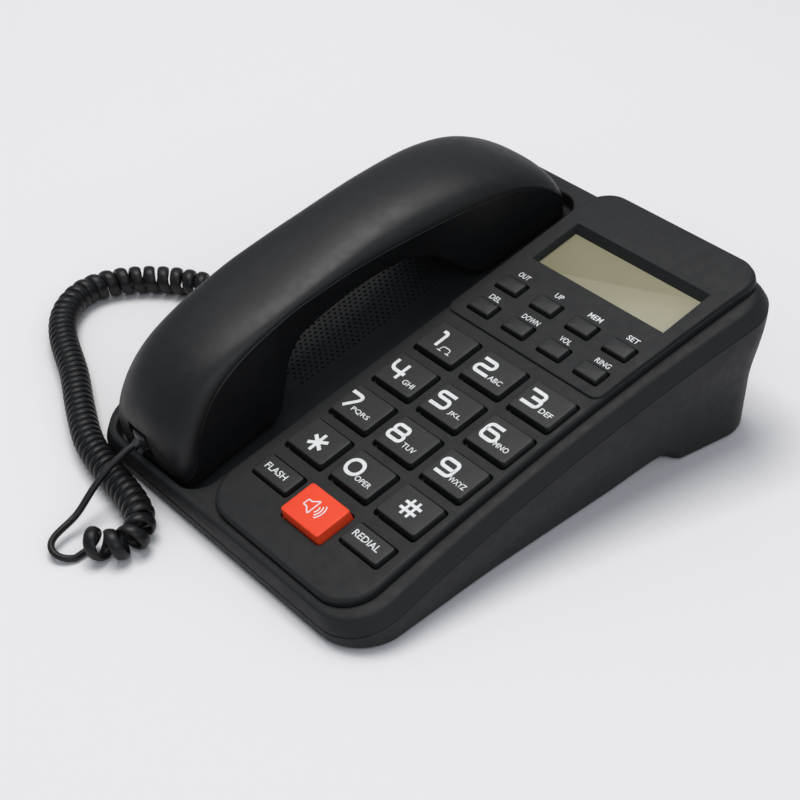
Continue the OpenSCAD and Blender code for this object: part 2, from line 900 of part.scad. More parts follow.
module hook_plunger() {
    color(case_colour)
        translate([hook_x, hook_y, 0])
            difference() {
                union() {
                    translate([-plunger_w / 2, -plunger_l / 2, flange_z + 0.5])
                        cube([plunger_w, plunger_l, 40]);
                    translate([0, 0, flange_z])
                        cylinder(d = flange_d, h = flange_t, $fn = 24);
                    translate([0, 0, seat_z - 2])
                        cylinder(d = stem_d, h = flange_z - seat_z + 2.5, $fn = 16);
                }
                translate([-hook_x, -hook_y, 0])
                    on_slope()
                        translate([hook_x - 20, hook_s - 20, -tub_depth - 0.05])
                            cube([40, 40, 60]);
            }
}

module hook_spring() {
    color(steel_colour)
        translate([hook_x, hook_y, 0])
            tube([
                for (k = [0 : 8 * spring_turns])
                    let (a = 45 * k)
                        [
                            spring_r * cos(a), spring_r * sin(a),
                            mix(seat_z + 0.5, flange_z - 0.5, k / (8 * spring_turns))
                        ]
            ], spring_wire, 6);
}

module hook_switch() {
    color([0.15, 0.15, 0.17])
        translate([hook_x, hook_y, 0])
            difference() {
                union() {
                    translate([-7, -7, main_board_top])
                        cube([14, 14, seat_z - main_board_top]);
                    translate([-8, -9, main_board_top])
                        cube([16, 18, 3]);
                }
                translate([0, 0, seat_z - 6])
                    cylinder(d = stem_d + 0.8, h = 10, $fn = 16);
            }
}

// Jacks and plugs

// A jack with its face at 0 and its body toward +X, round the middle of its socket
module jack(l, w = plug_w) {
    difference() {
        translate([0, -jack_w / 2, -jack_h / 2])
            cube([l, jack_w, jack_h]);
        translate([-1, -w / 2 - plug_gap, -plug_h / 2 - plug_gap])
            cube([l - 1, w + 2 * plug_gap, plug_h + 2 * plug_gap]);
        translate([-1, -1.8, -plug_h / 2 - plug_gap - 1.2])
            cube([l - 3, 3.6, 3]);
    }
}

// A plug in a jack, with its nose at depth and its cord end at -out
module plug(depth, out) {
    union() {
        translate([-out, -plug_w / 2, -plug_h / 2])
            cube([depth + out, plug_w, plug_h]);
        translate([-out + 0.6, -1.5, -plug_h / 2 - 1])
            cube([depth + out - 2, 3, 1.2]);
    }
}

module handset_cord_jack() {
    color([0.15, 0.15, 0.17])
        translate([cord_jack_x - jack_l, cord_jack_y, cord_jack_z])
            jack(jack_l);
}

module base_plug() {
    color([0.2, 0.2, 0.22])
        translate([cord_jack_x - jack_l, cord_jack_y, cord_jack_z])
            plug(jack_l - 3.5, plug_out);
}

module line_jack() {
    color([0.15, 0.15, 0.17])
        translate([line_jack_x, base_l / 2 - jack_front, main_board_top + jack_h / 2])
            rotate([0, 0, -90])
                jack(jack_l, line_plug_w);
}

module in_handset_nose() {
    on_slope()
        translate([handset_x, handset_s + nose_depth, handset_jack_h])
            rotate([0, 0, 90])
                children();
}

module handset_jack() {
    color([0.15, 0.15, 0.17])
        in_handset_nose()
            jack(jack_l);
}

module handset_plug() {
    color([0.2, 0.2, 0.22])
        in_handset_nose()
            plug(jack_l - 3.5, nose_depth + handset_plug_out);
}

// Cords

function unit(v) = v / norm(v);
function square_to(dir) = unit(cross(dir, abs(dir[2]) < 0.8 ? [0, 0, 1] : [1, 0, 0]));

// Direction of a line at each of its points
function directions(line) = [
    for (i = [0 : len(line) - 1])
        unit(line[min(i + 1, len(line) - 1)] - line[max(i - 1, 0)])
];

// A tube whose rings stand square to the line and do not twist along it
module tube(line, d, sides) {
    dirs = directions(line);
    n = len(line);
    across = [
        for (i = 0, v = square_to(dirs[0]); i < n;
            i = i + 1, v = i < n ? unit(v - dirs[i] * (v * dirs[i])) : v)
            v
    ];
    loft([
        for (i = [0 : n - 1])
            [
                for (k = [0 : sides - 1])
                    let (a = 360 * k / sides)
                        line[i] + d / 2 * (cos(a) * across[i] + sin(a) * cross(dirs[i], across[i]))
            ]
    ]);
}

// A smooth line through the points of a route
function between(p, q, r, s, t) = 0.5 * (
    2 * q + (r - p) * t + (2 * p - 5 * q + 4 * r - s) * t * t + (3 * q - p - 3 * r + s) * t * t * t
);
function through(route, steps) = let (last = len(route) - 1) concat(
    [
        for (i = [0 : last - 1])
            for (k = [0 : steps - 1])
                between(
                    route[max(i - 1, 0)], route[i], route[i + 1], route[min(i + 2, last)], k / steps
                )
    ],
    [route[last]]
);
function distances(line) = [
    for (i = 0, d = 0; i < len(line);
        i = i + 1, d = i < len(line) ? d + norm(line[i] - line[i - 1]) : d)
        d
];

// The middle of the curls, by distance along it
coil_mid = through(coil_route, 8);
coil_along = distances(coil_mid);
coil_x = [for (i = [0 : len(coil_mid) - 1]) [coil_along[i], coil_mid[i][0]]];
coil_y = [for (i = [0 : len(coil_mid) - 1]) [coil_along[i], coil_mid[i][1]]];
coil_length = coil_along[len(coil_along) - 1];
function mid_at(d) = [lookup(d, coil_x), lookup(d, coil_y), coil_z];
function mid_dir(d) = unit(mid_at(min(d + 1.5, coil_length)) - mid_at(max(d - 1.5, 0)));
function mid_left(d) = let (t = mid_dir(d)) [-t[1], t[0], 0];

// Distance along the middle of every eighth of a curl, in whole curls
eighths = [for (d = 0; d < coil_length; d = d + lookup(d, curl_pitch) / 8) d];
curls = floor((len(eighths) - 1) / 8);
function curl_point(k) = let (d = eighths[k], a = 45 * k - 90)
    mid_at(d) + coil_r * (cos(a) * mid_left(d) + [0, 0, sin(a)]);
function curl_end_dir(k) = let (d = eighths[k])
    unit(mid_left(d) * 2 * PI * coil_r + mid_dir(d) * lookup(d, curl_pitch));
curl_line = concat(
    [curl_point(0) - wire_d * curl_end_dir(0)],
    [for (k = [0 : 8 * curls]) curl_point(k)],
    [curl_point(8 * curls) + wire_d * curl_end_dir(8 * curls)]
);
coil_start = curl_line[0];
coil_end = curl_line[len(curl_line) - 1];

// The least gap between the turns of the curls, on the points of the tube's line
// and halfway between them
fine_curls = [
    for (i = [1 : len(curl_line) - 3])
        each [curl_line[i], (curl_line[i] + curl_line[i + 1]) / 2]
];
least_gap = min([
    for (i = [0 : len(fine_curls) - 1])
        for (j = [i + 8 : min(i + 40, len(fine_curls) - 1)])
            norm(fine_curls[i] - fine_curls[j])
]) - wire_d;

module coil_cord() {
    echo(curls = curls, least_gap = least_gap, middle = coil_length);
    color([0.2, 0.2, 0.22])
        tube(curl_line, wire_d, 6);
}

handset_lead_start = from_slope([handset_x, handset_s - handset_plug_out, handset_jack_h]);
handset_lead_dir = [0, -cos(tilt), -sin(tilt)];
base_lead_end = [cord_jack_x - jack_l - plug_out, cord_jack_y, cord_jack_z];

module handset_lead() {
    color([0.2, 0.2, 0.22])
        tube(concat(
            [handset_lead_start],
            through(concat(
                [handset_lead_start + lead_d * handset_lead_dir],
                handset_lead_route,
                [coil_start - lead_d * curl_end_dir(0)]
            ), 3),
            [coil_start]
        ), lead_d, 8);
}

module base_lead() {
    color([0.2, 0.2, 0.22])
        tube(concat(
            [coil_end],
            through(concat(
                [coil_end + lead_d * curl_end_dir(8 * curls)],
                base_lead_route,
                [base_lead_end - [lead_d, 0, 0]]
            ), 3),
            [base_lead_end]
        ), lead_d, 8);
}

// Handset. Heights are over the shoulder and distances from the mouth end, in
// the proportions of a handset of the length and height that follow.

drawn_l = 192.6;
drawn_top = 41;
top_line = [
    [0, 13], [1.1, 17], [2.7, 20], [6, 24], [12, 29], [20, 33], [30, 36], [44, 38.2],
    [60, 39.4], [82, 40.5], [106, 41], [124, 40.2], [140, 38.2], [152, 35.9], [160, 33.6],
    [168, 30.6], [176, 26.6], [183, 21.8], [188, 17.4], [191.2, 13.4], [192.6, 10]
];
side_line = [
    [0, -3], [4, -1], [8, 3.6], [13, 12.4], [20, 20.8], [28, 26.4], [39, 30.6], [50, 33],
    [69, 35], [88, 34.4], [106, 32.8], [124, 30.6], [143, 27.8], [158, 24.6], [170, 20.6],
    [179, 15.2], [186, 8.4], [190, 3], [192.6, -2]
];
side_in_line = [[0, 0.3], [20, 0.8], [40, 1], [96, 1], [130, 0.55], [160, 0.1], [192.6, 0]];
arch_line = [
    [44, 0], [48, 0.1], [52, 0.3], [60, 0.72], [70, 0.93], [94, 1], [118, 0.93],
    [130, 0.7], [139, 0.3], [143, 0.1], [147, 0]
];
handset_stations = [
    0, 1.1, 2.7, 6, 9, 13, 20, 28, 36, 44, 48, 52, 60, 70, 82, 94, 106, 118, 130, 139, 143,
    147, 154, 161, 168, 175, 182, 187, 190, 191.6, 192.6
];
handset_r = 10;
handset_rear_r = 6;

function top_at(d) = lookup(d * drawn_l / handset_l, top_line) * handset_top / drawn_top;
function side_at(d) = lookup(d * drawn_l / handset_l, side_line) * handset_top / drawn_top;
function arch_at(d) = lookup(d * drawn_l / handset_l, arch_line);
function under_at(d) = mix(handset_under, arch_h, arch_at(d));
function round_in(e, r) = e >= r ? 0 : r - sqrt(r * r - pow(r - max(e, 0), 2));
function nose_in(d) = round_in(d, handset_r) + round_in(handset_l - d, handset_rear_r);
function half_at(d) = handset_w / 2 - nose_in(d)
    - grip_in * lookup(d * drawn_l / handset_l, side_in_line);
// The same place further out toward the nearer end
function outward(d, by) = d < handset_l / 2 ? d - by : d + by;

function upper_section(d, inset) = let (
    e = outward(d, inset),
    w = half_at(e) - inset,
    low = side_at(d) - (inset > 0 ? 1 : 0),
    high = top_at(e) - inset
) [
    for (k = [12 : -1 : 0])
        let (a = 15 * k)
            [
                handset_x + w * sign(cos(a)) * pow(abs(cos(a)), 0.85),
                handset_s + d,
                low + (high - low) * pow(abs(sin(a)), 0.85)
            ]
];

function lower_section(d, inset) = let (
    e = outward(d, inset),
    w = half_at(e) - inset,
    b = w - mix(1, 5, arch_at(d)),
    high = side_at(d) + (inset > 0 ? 1 : 0),
    low = max(under_at(d - inset), under_at(d + inset)) + inset,
    r = min(3, (high - low) / 4),
    right = [
        [w, high], [mix(w, b, 0.2), mix(high, low, 0.12)], [mix(w, b, 0.8), mix(high, low, 0.62)],
        [b, low + r], [b - 0.3 * r, low + 0.3 * r], [b - r, low]
    ]
) concat(
    [for (p = right) [handset_x + p[0], handset_s + d, p[1]]],
    [for (i = [5 : -1 : 0]) [handset_x - right[i][0], handset_s + d, right[i][1]]]
);

function stations(inset) = concat(
    inset > 0 ? [inset] : [],
    [
        for (d = handset_stations)
            let (e = d * handset_l / drawn_l)
                if (e > inset - eps && e < handset_l - inset + eps) e
    ],
    inset > 0 ? [handset_l - inset] : []
);

module handset_solid(upper, inset) {
    loft([
        for (d = stations(inset))
            upper ? upper_section(d, inset) : lower_section(d, inset)
    ]);
}

handset_screw_d = [38, 149.5];
weight_d = 95;
weight_h = arch_h + handset_t + 1.5;
weight_l = 36;
receiver_place = handset_l - 23;
microphone_place = 22;
handset_joint_h = 9;

module at_handset(d, h) {
    translate([handset_x, handset_s + d, h])
        children();
}

module handset_outer_shell() {
    color(case_colour)
        on_slope()
            difference() {
                union() {
                    difference() {
                        handset_solid(true, 0);
                        handset_solid(true, handset_t);
                    }
                    for (d = handset_screw_d)
                        at_handset(d, handset_joint_h)
                            cylinder(d = 6, h = top_at(d) - 1 - handset_joint_h, $fn = 16);
                }
                for (d = handset_screw_d)
                    at_handset(d, handset_joint_h - 1)
                        cylinder(d = shank_d - 0.1, h = 10, $fn = 12);
                at_handset(-1, handset_jack_h)
                    translate([-jack_w / 2 - fit_gap, 0, -jack_h / 2 - fit_gap])
                        cube([jack_w + 2 * fit_gap, 12, jack_h + 2 * fit_gap]);
            }
}

module handset_inner_shell() {
    color(case_colour)
        on_slope()
            difference() {
                union() {
                    difference() {
                        handset_solid(false, 0);
                        handset_solid(false, handset_t);
                    }
                    for (d = handset_screw_d)
                        at_handset(d, handset_under + 0.5)
                            cylinder(d = 7, h = handset_joint_h - handset_under - 0.5, $fn = 16);
                    for (side = [-1, 1])
                        at_handset(weight_d + side * (weight_l / 2 - 4) - 1, arch_h - 1.4)
                            translate([-6, 0, 0])
                                cube([12, 2, weight_h - arch_h + 1.4]);
                    at_handset(jack_l - 8, handset_under + 1)
                        translate([-4, 0, 0])
                            cube([8, 7, handset_jack_h - jack_h / 2 - handset_under - 1]);
                }
                for (d = handset_screw_d)
                    at_handset(d, handset_under - 1) {
                        cylinder(d = shank_d + 0.4, h = 20, $fn = 16);
                        cylinder(d = head_d + 0.6, h = 5, $fn = 16);
                    }
                for (k = [0 : 6])
                    at_handset(receiver_place, handset_under - 1)
                        rotate([0, 0, 60 * k])
                            translate([k == 6 ? 0 : 6, 0, 0])
                                cylinder(d = 2.4, h = handset_t + 2, $fn = 8);
                for (k = [-1 : 1])
                    at_handset(microphone_place, handset_under - 1)
                        translate([3 * k, 0, 0])
                            cylinder(d = 1.6, h = handset_t + 2, $fn = 8);
            }
}

module handset_receiver() {
    color([0.7, 0.7, 0.72])
        on_slope()
            at_handset(receiver_place, handset_under + handset_t)
                union() {
                    cylinder(d = receiver_d, h = 4.5);
                    cylinder(d = receiver_d * 0.6, h = 9);
                }
}

module handset_microphone() {
    color([0.7, 0.7, 0.72])
        on_slope()
            at_handset(microphone_place, handset_under + handset_t)
                cylinder(d = 9.8, h = 5, $fn = 24);
}

module handset_weight() {
    color([0.55, 0.55, 0.58])
        on_slope()
            at_handset(weight_d - weight_l / 2, weight_h)
                translate([-7, 0, 0])
                    cube([14, weight_l, 6]);
}

module handset_screws() {
    color(steel_colour)
        on_slope()
            for (d = handset_screw_d)
                at_handset(d, handset_under + 4)
                    rotate([180, 0, 0])
                        small_screw(14, shank_d - 0.2, head_d, 2.2);
}

// The keys one by one

module key_1() { key(number_key(0, 3)); }
module key_2() { key(number_key(1, 3)); }
module key_3() { key(number_key(2, 3)); }
module key_4() { key(number_key(0, 2)); }
module key_5() { key(number_key(1, 2)); }
module key_6() { key(number_key(2, 2)); }
module key_7() { key(number_key(0, 1)); }
module key_8() { key(number_key(1, 1)); }
module key_9() { key(number_key(2, 1)); }
module key_star() { key(number_key(0, 0)); }
module key_0() { key(number_key(1, 0)); }
module key_hash() { key(number_key(2, 0)); }
module key_flash() { key(function_key(-1)); }
module key_speaker() { key(speaker_key_place, [0.93, 0.36, 0.25]); }
module key_redial() { key(function_key(1)); }
module key_out() { key(small_key(0, 1)); }
module key_up() { key(small_key(1, 1)); }
module key_memory() { key(small_key(2, 1)); }
module key_set() { key(small_key(3, 1)); }
module key_delete() { key(small_key(0, 0)); }
module key_down() { key(small_key(1, 0)); }
module key_volume() { key(small_key(2, 0)); }
module key_ring() { key(small_key(3, 0)); }

bottom_case();
top_case();
display_bezel();
lcd_window();
lcd_module();
keypad_board();
main_board();
keypad_mat();
display_key_mat();
key_1();
key_2();
key_3();
key_4();
key_5();
key_6();
key_7();
key_8();
key_9();
key_star();
key_0();
key_hash();
key_flash();
key_speaker();
key_redial();
key_out();
key_up();
key_memory();
key_set();
key_delete();
key_down();
key_volume();
key_ring();
loudspeaker();
speaker_retainer();
speakerphone_microphone();
hook_plunger();
hook_spring();
hook_switch();
line_jack();
handset_cord_jack();
base_plug();
base_lead();
coil_cord();
handset_lead();
handset_plug();
handset_jack();
handset_outer_shell();
handset_inner_shell();
handset_receiver();
handset_microphone();
handset_weight();
handset_screws();
rubber_feet();
case_screws();
board_screws();
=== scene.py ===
# %% [markdown]
# # A corded desk telephone
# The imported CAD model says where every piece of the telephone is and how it
# moves. This lesson dresses it for a picture: each shape is drawn again with
# finer curves and small roundings, and each surface gets its finish from
# shader nodes. The camera, the floor and the cords come first, because they
# decide what fits in the picture.

# %% The frame
import math
from collections import namedtuple

import bmesh
import bpy
import numpy as np
from mathutils import Matrix, Vector


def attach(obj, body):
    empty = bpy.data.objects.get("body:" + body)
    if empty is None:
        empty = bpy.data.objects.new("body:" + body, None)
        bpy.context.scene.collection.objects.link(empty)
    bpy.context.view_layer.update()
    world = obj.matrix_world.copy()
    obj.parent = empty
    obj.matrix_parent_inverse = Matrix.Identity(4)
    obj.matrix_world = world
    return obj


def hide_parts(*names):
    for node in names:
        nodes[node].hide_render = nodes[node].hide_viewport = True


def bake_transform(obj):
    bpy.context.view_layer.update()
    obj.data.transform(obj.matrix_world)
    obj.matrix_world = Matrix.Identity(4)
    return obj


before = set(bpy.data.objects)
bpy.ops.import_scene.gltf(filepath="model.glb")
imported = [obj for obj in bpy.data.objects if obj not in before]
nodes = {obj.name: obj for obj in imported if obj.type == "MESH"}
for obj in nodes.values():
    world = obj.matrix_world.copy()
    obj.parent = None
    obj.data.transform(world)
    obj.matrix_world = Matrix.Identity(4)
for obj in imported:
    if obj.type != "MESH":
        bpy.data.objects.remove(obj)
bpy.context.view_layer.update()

# %% [markdown]
# The telephone is a wedge, so most of its pieces lie on one slope. They are
# easiest to draw flat, as (across, up the slope, off the slope) in
# millimetres, and are turned to their real place at the end. These few
# values put the slope in the frame.

# %% The slope
MM = 0.001
base_w = 166
base_l = 202
tilt = math.radians(14)
case_z = 1
shoulder_z = 11.7
front_y = -base_l / 2


def from_slope(x, s, h):
    """A slope place in millimetres as a place in the frame, still in millimetres."""
    return Vector((
        x,
        front_y + s * math.cos(tilt) - h * math.sin(tilt),
        shoulder_z + s * math.sin(tilt) + h * math.cos(tilt),
    ))


def slope_z(y):
    return shoulder_z + (y - front_y) * math.tan(tilt)


def mix(a, b, t):
    return a + (b - a) * t


def unit(way):
    return way / np.linalg.norm(way)


def quarter(steps):
    """The angles of a quarter turn, in equal steps."""
    return [math.radians(90 * k / steps) for k in range(steps + 1)]


def smooth_step(t):
    t = min(1, max(0, t))
    return t * t * (3 - 2 * t)


print("the slope rises to", round(slope_z(-front_y), 1), "mm at the rear edge")

# %% [markdown]
# The photograph was taken from the front right, about three quarters of a
# metre away. A camera that looks at a point on the table and is rolled by a
# few degrees gives the same view. The lens is long, so the shapes stay calm.

# %% Camera
def add(name, data):
    """Puts a camera, a lamp or a form in the scene, as an object."""
    thing = bpy.data.objects.new(name, data)
    bpy.context.scene.collection.objects.link(thing)
    return thing


camera_place = Vector((0.4565, -0.3583, 0.4286))
camera_aim = Vector((-0.0255, 0.0051, 0.0))
camera_roll = math.radians(-2.82)
camera_lens = 84.9

camera_data = bpy.data.cameras.new("camera")
camera_data.lens = camera_lens
camera_data.sensor_width = 36
camera = add("camera", camera_data)
look = (camera_aim - camera_place).to_track_quat("-Z", "Y").to_matrix().to_4x4()
camera.matrix_world = Matrix.Translation(camera_place) @ look @ Matrix.Rotation(camera_roll, 4, "Z")
bpy.context.scene.camera = camera
print("camera distance", round((camera_aim - camera_place).length, 3), "m")

# %% [markdown]
# The telephone stands on a pale sheet under a large soft lamp overhead, a
# little to the left, with a weaker and bluer one on the right and an even
# pale sky for the rest. A real product table has the same: one broad source
# that models the forms, and white card all round. The floor is far larger
# than the view, so it is the background too.

# %% Nodes for a finish
def new_finish(name):
    """A material with an empty Principled shader, its nodes and its links."""
    finish = bpy.data.materials.new(name)
    finish.use_nodes = True
    tree = finish.node_tree
    return finish, tree, tree.nodes["Principled BSDF"]


def noise(tree, scale, detail):
    """A noise texture that is fixed to the piece, in cells a metre."""
    place = tree.nodes.new("ShaderNodeTexCoord")
    texture = tree.nodes.new("ShaderNodeTexNoise")
    texture.inputs["Scale"].default_value = scale
    texture.inputs["Detail"].default_value = detail
    tree.links.new(place.outputs["Object"], texture.inputs["Vector"])
    return texture.outputs["Fac"]


def spread(tree, value, low, high, start=0.3, end=0.7):
    """Turns a texture's middle range into the range from low to high."""
    node = tree.nodes.new("ShaderNodeMapRange")
    node.inputs["From Min"].default_value = start
    node.inputs["From Max"].default_value = end
    node.inputs["To Min"].default_value = low
    node.inputs["To Max"].default_value = high
    tree.links.new(value, node.inputs["Value"])
    return node.outputs["Result"]


def blend_colours(tree, share, first, second):
    """Mixes two colours, or a colour into another node's colour, by a share."""
    node = tree.nodes.new("ShaderNodeMix")
    node.data_type = "RGBA"
    for socket, colour in (("A_Color", first), ("B_Color", second)):
        target = next(i for i in node.inputs if i.identifier == socket)
        if isinstance(colour, tuple):
            target.default_value = (*colour, 1)
        else:
            tree.links.new(colour, target)
    factor = next(i for i in node.inputs if i.identifier == "Factor_Float")
    tree.links.new(share, factor)
    return next(o for o in node.outputs if o.identifier == "Result_Color")


def bump(tree, height, depth, strength, over=None):
    """Bends the surface's normal by a height texture that is depth metres deep."""
    node = tree.nodes.new("ShaderNodeBump")
    node.inputs["Strength"].default_value = strength
    node.inputs["Distance"].default_value = depth
    tree.links.new(height, node.inputs["Height"])
    if over:
        tree.links.new(over, node.inputs["Normal"])
    return node.outputs["Normal"]


def mottled(name, colours, tone, gloss, grain, depth, strength, settings=None):
    """A finish mottled between two colours, with a range of gloss and a fine relief.

    Tone and grain are noises, each as (cells a metre, detail). Gloss is the range
    of roughness and then its noise. The relief is depth metres deep.
    """
    finish, tree, shader = new_finish(name)
    share = spread(tree, noise(tree, *tone), 0, 1)
    tree.links.new(blend_colours(tree, share, *colours), shader.inputs["Base Color"])
    if gloss:
        rough = spread(tree, noise(tree, *gloss[2:]), *gloss[:2])
        tree.links.new(rough, shader.inputs["Roughness"])
    tree.links.new(bump(tree, noise(tree, *grain), depth, strength), shader.inputs["Normal"])
    for socket, value in (settings or {}).items():
        shader.inputs[socket].default_value = value
    return finish


print("nodes for finishes are ready")

# %% Floor
pale_sheet = mottled(
    "pale_sheet", ((0.845, 0.825, 0.825), (0.86, 0.84, 0.84)), (2, 2), None, (900, 3), 0.00003, 1,
    {"Roughness": 0.9, "Specular IOR Level": 0.1},
)
floor_half = 3.0
floor_z = -0.0001
floor_mesh = bpy.data.meshes.new("floor")
floor_corners = [(-1, -1), (1, -1), (1, 1), (-1, 1)]
floor_mesh.from_pydata(
    [(x * floor_half, y * floor_half, floor_z) for x, y in floor_corners], [], [(0, 1, 2, 3)]
)
floor_mesh.materials.append(pale_sheet)
floor = add("floor", floor_mesh)
print("floor side", 2 * floor_half, "m")

# %% Light
lamp_side = 1.2


def soft_lamp(name, place, power, colour):
    """A square lamp that faces the telephone."""
    lamp = bpy.data.lights.new(name, "AREA")
    lamp.shape = "RECTANGLE"
    lamp.size = lamp_side
    lamp.size_y = lamp_side
    lamp.energy = power
    lamp.color = colour
    holder = add(name, lamp)
    holder.location = place
    holder.rotation_euler = (-Vector(place)).to_track_quat("-Z", "Y").to_euler()


soft_lamp("overhead_lamp", (-0.42, 0.1, 1.9), 24.5, (1, 0.975, 0.96))
soft_lamp("right_fill_lamp", (1.1, -0.35, 1), 5.5, (0.84, 0.92, 1))

# %% Sky
# The sky lights the telephone, and the camera sees a plain backdrop in its place
sky = bpy.data.worlds.new("pale_room")
bpy.context.scene.world = sky
sky.use_nodes = True
tree = sky.node_tree
room = tree.nodes["Background"]
room.inputs["Color"].default_value = (0.84, 0.91, 1, 1)
room.inputs["Strength"].default_value = 0.35
backdrop = tree.nodes.new("ShaderNodeBackground")
backdrop.inputs["Color"].default_value = (0.8, 0.8, 0.81, 1)
rays = tree.nodes.new("ShaderNodeLightPath")
either = tree.nodes.new("ShaderNodeMixShader")
tree.links.new(rays.outputs["Is Camera Ray"], either.inputs["Fac"])
tree.links.new(room.outputs["Background"], either.inputs[1])
tree.links.new(backdrop.outputs["Background"], either.inputs[2])
tree.links.new(either.outputs["Shader"], tree.nodes["World Output"].inputs["Surface"])
bpy.context.scene.view_settings.view_transform = "Standard"
print("sky:", sky.name)

# %% [markdown]
# ## The curly cord
# A handset cord is a cable that was wound on a rod and baked, so that it
# keeps its curls. It could be a straight tube with an Array and a Curve
# modifier, but the curls of a real cord open and close along its way. So its
# line is worked out point by point: the middle of the curls runs through the
# places below, and the pitch of the curls is looked up by the distance along
# it. The cable is flat, so it is made of rings of points that also know the
# way out from the middle of the curls.

# %% The way of the curls
coil_route = [
    (-0.0264, -0.137), (-0.021, -0.1342), (-0.0168, -0.1294), (-0.0164, -0.1226),
    (-0.0218, -0.1166), (-0.03, -0.1132), (-0.04, -0.1112), (-0.06, -0.1086),
    (-0.0772, -0.1048), (-0.0978, -0.0962), (-0.12, -0.0858), (-0.1454, -0.0758),
    (-0.1602, -0.0666), (-0.1686, -0.0556), (-0.1706, -0.0458), (-0.168, -0.036),
    (-0.162, -0.0266), (-0.154, -0.0186), (-0.145, -0.0126), (-0.136, -0.008),
]
curl_pitch = [
    (0, 7.2), (14, 7.2), (22, 7), (32, 5.2), (40, 4.2), (50, 3.75), (168, 3.75),
    (178, 4.4), (192, 5), (205, 6), (300, 6),
]
curl_od = 12
wire_d = 2.4
lead_d = 2.6
coil_r = (curl_od - wire_d) / 2
coil_z = curl_od / 2 + 0.1
mid_reach = 1.5


def between(p, q, r, s, t):
    """A point on the smooth line from q to r, with p before them and s after."""
    return 0.5 * (
        2 * q + (r - p) * t + (2 * p - 5 * q + 4 * r - s) * t * t
        + (3 * q - p - 3 * r + s) * t * t * t
    )


def through(route, steps):
    """A smooth line through the points of a route."""
    places = [np.array(p, float) for p in route]
    last = len(places) - 1
    line = [
        between(places[max(i - 1, 0)], places[i], places[i + 1], places[min(i + 2, last)], k / steps)
        for i in range(last)
        for k in range(steps)
    ]
    return line + [places[last]]


coil_mid = np.array(through(coil_route, 8)) / MM
coil_along = np.concatenate([[0], np.cumsum(np.linalg.norm(np.diff(coil_mid, axis=0), axis=1))])
coil_length = coil_along[-1]


def mid_at(d):
    return np.array([
        np.interp(d, coil_along, coil_mid[:, 0]), np.interp(d, coil_along, coil_mid[:, 1]), coil_z
    ])


def mid_ahead(d):
    """The way of the middle of the curls, at a distance along it."""
    return unit(mid_at(min(d + mid_reach, coil_length)) - mid_at(max(d - mid_reach, 0)))


def mid_left(d):
    ahead = mid_ahead(d)
    return np.array([-ahead[1], ahead[0], 0])


def pitch_at(d):
    return np.interp(d, *zip(*curl_pitch))


eighths = [0.0]
while eighths[-1] + pitch_at(eighths[-1]) / 8 < coil_length:
    eighths.append(eighths[-1] + pitch_at(eighths[-1]) / 8)
curls = (len(eighths) - 1) // 8
print("curls:", curls, "along", round(coil_length, 1), "mm")


# %% The line of the curls
def along_at(k):
    """How far k eighths of a curl reach along the middle; k may be a fraction."""
    low = min(int(k), len(eighths) - 2)
    return mix(eighths[low], eighths[low + 1], k - low)


def curl_out(k):
    """The way out from the middle of the curls after k eighths of a curl."""
    a = math.radians(45 * k - 90)
    return math.cos(a) * mid_left(along_at(k)) + np.array([0, 0, math.sin(a)])


def curl_point(k):
    return mid_at(along_at(k)) + coil_r * curl_out(k)


def curl_end_dir(k):
    d = eighths[k]
    return unit(mid_left(d) * 2 * math.pi * coil_r + mid_ahead(d) * pitch_at(d))


curl_steps = 3
last_eighth = 8 * curls
curl_places = [k / curl_steps for k in range(last_eighth * curl_steps + 1)]
curl_line = (
    [curl_point(0) - wire_d * curl_end_dir(0)]
    + [curl_point(k) for k in curl_places]
    + [curl_point(last_eighth) + wire_d * curl_end_dir(last_eighth)]
)
curl_outs = [curl_out(k) for k in [0] + curl_places + [last_eighth]]
coil_start = curl_line[0]
coil_end = curl_line[-1]


def length_of(line):
    return sum(np.linalg.norm(b - a) for a, b in zip(line, line[1:]))


print("wire in the curls:", round(length_of(curl_line) * MM, 3), "m")


# %% Cord finish
# Soft black vinyl, a little glossy
cord_finish = mottled(
    "cord_sheath", ((0.005, 0.005, 0.0055), (0.009, 0.009, 0.0095)), (160, 4),
    (0.3, 0.44, 700, 2), (1600, 3), 0.00004, 0.5, {"Specular IOR Level": 0.3},
)


def round_cable(name, line, d):
    """A curve of one open line with a round section; line is in millimetres."""
    curve = bpy.data.curves.new(name, "CURVE")
    curve.dimensions = "3D"
    curve.bevel_depth = d / 2 * MM
    curve.bevel_resolution = 4
    curve.use_fill_caps = True
    spline = curve.splines.new("POLY")
    spline.points.add(len(line) - 1)
    for point, place in zip(spline.points, line):
        point.co = (*(np.array(place) * MM), 1)
    spline.use_smooth = True
    curve.materials.append(cord_finish)
    return add(name, curve)


flat_t = 2.2
flat_w = 4.8
flat_share = 0.87
flat_rings = 10
cord_sides = 14


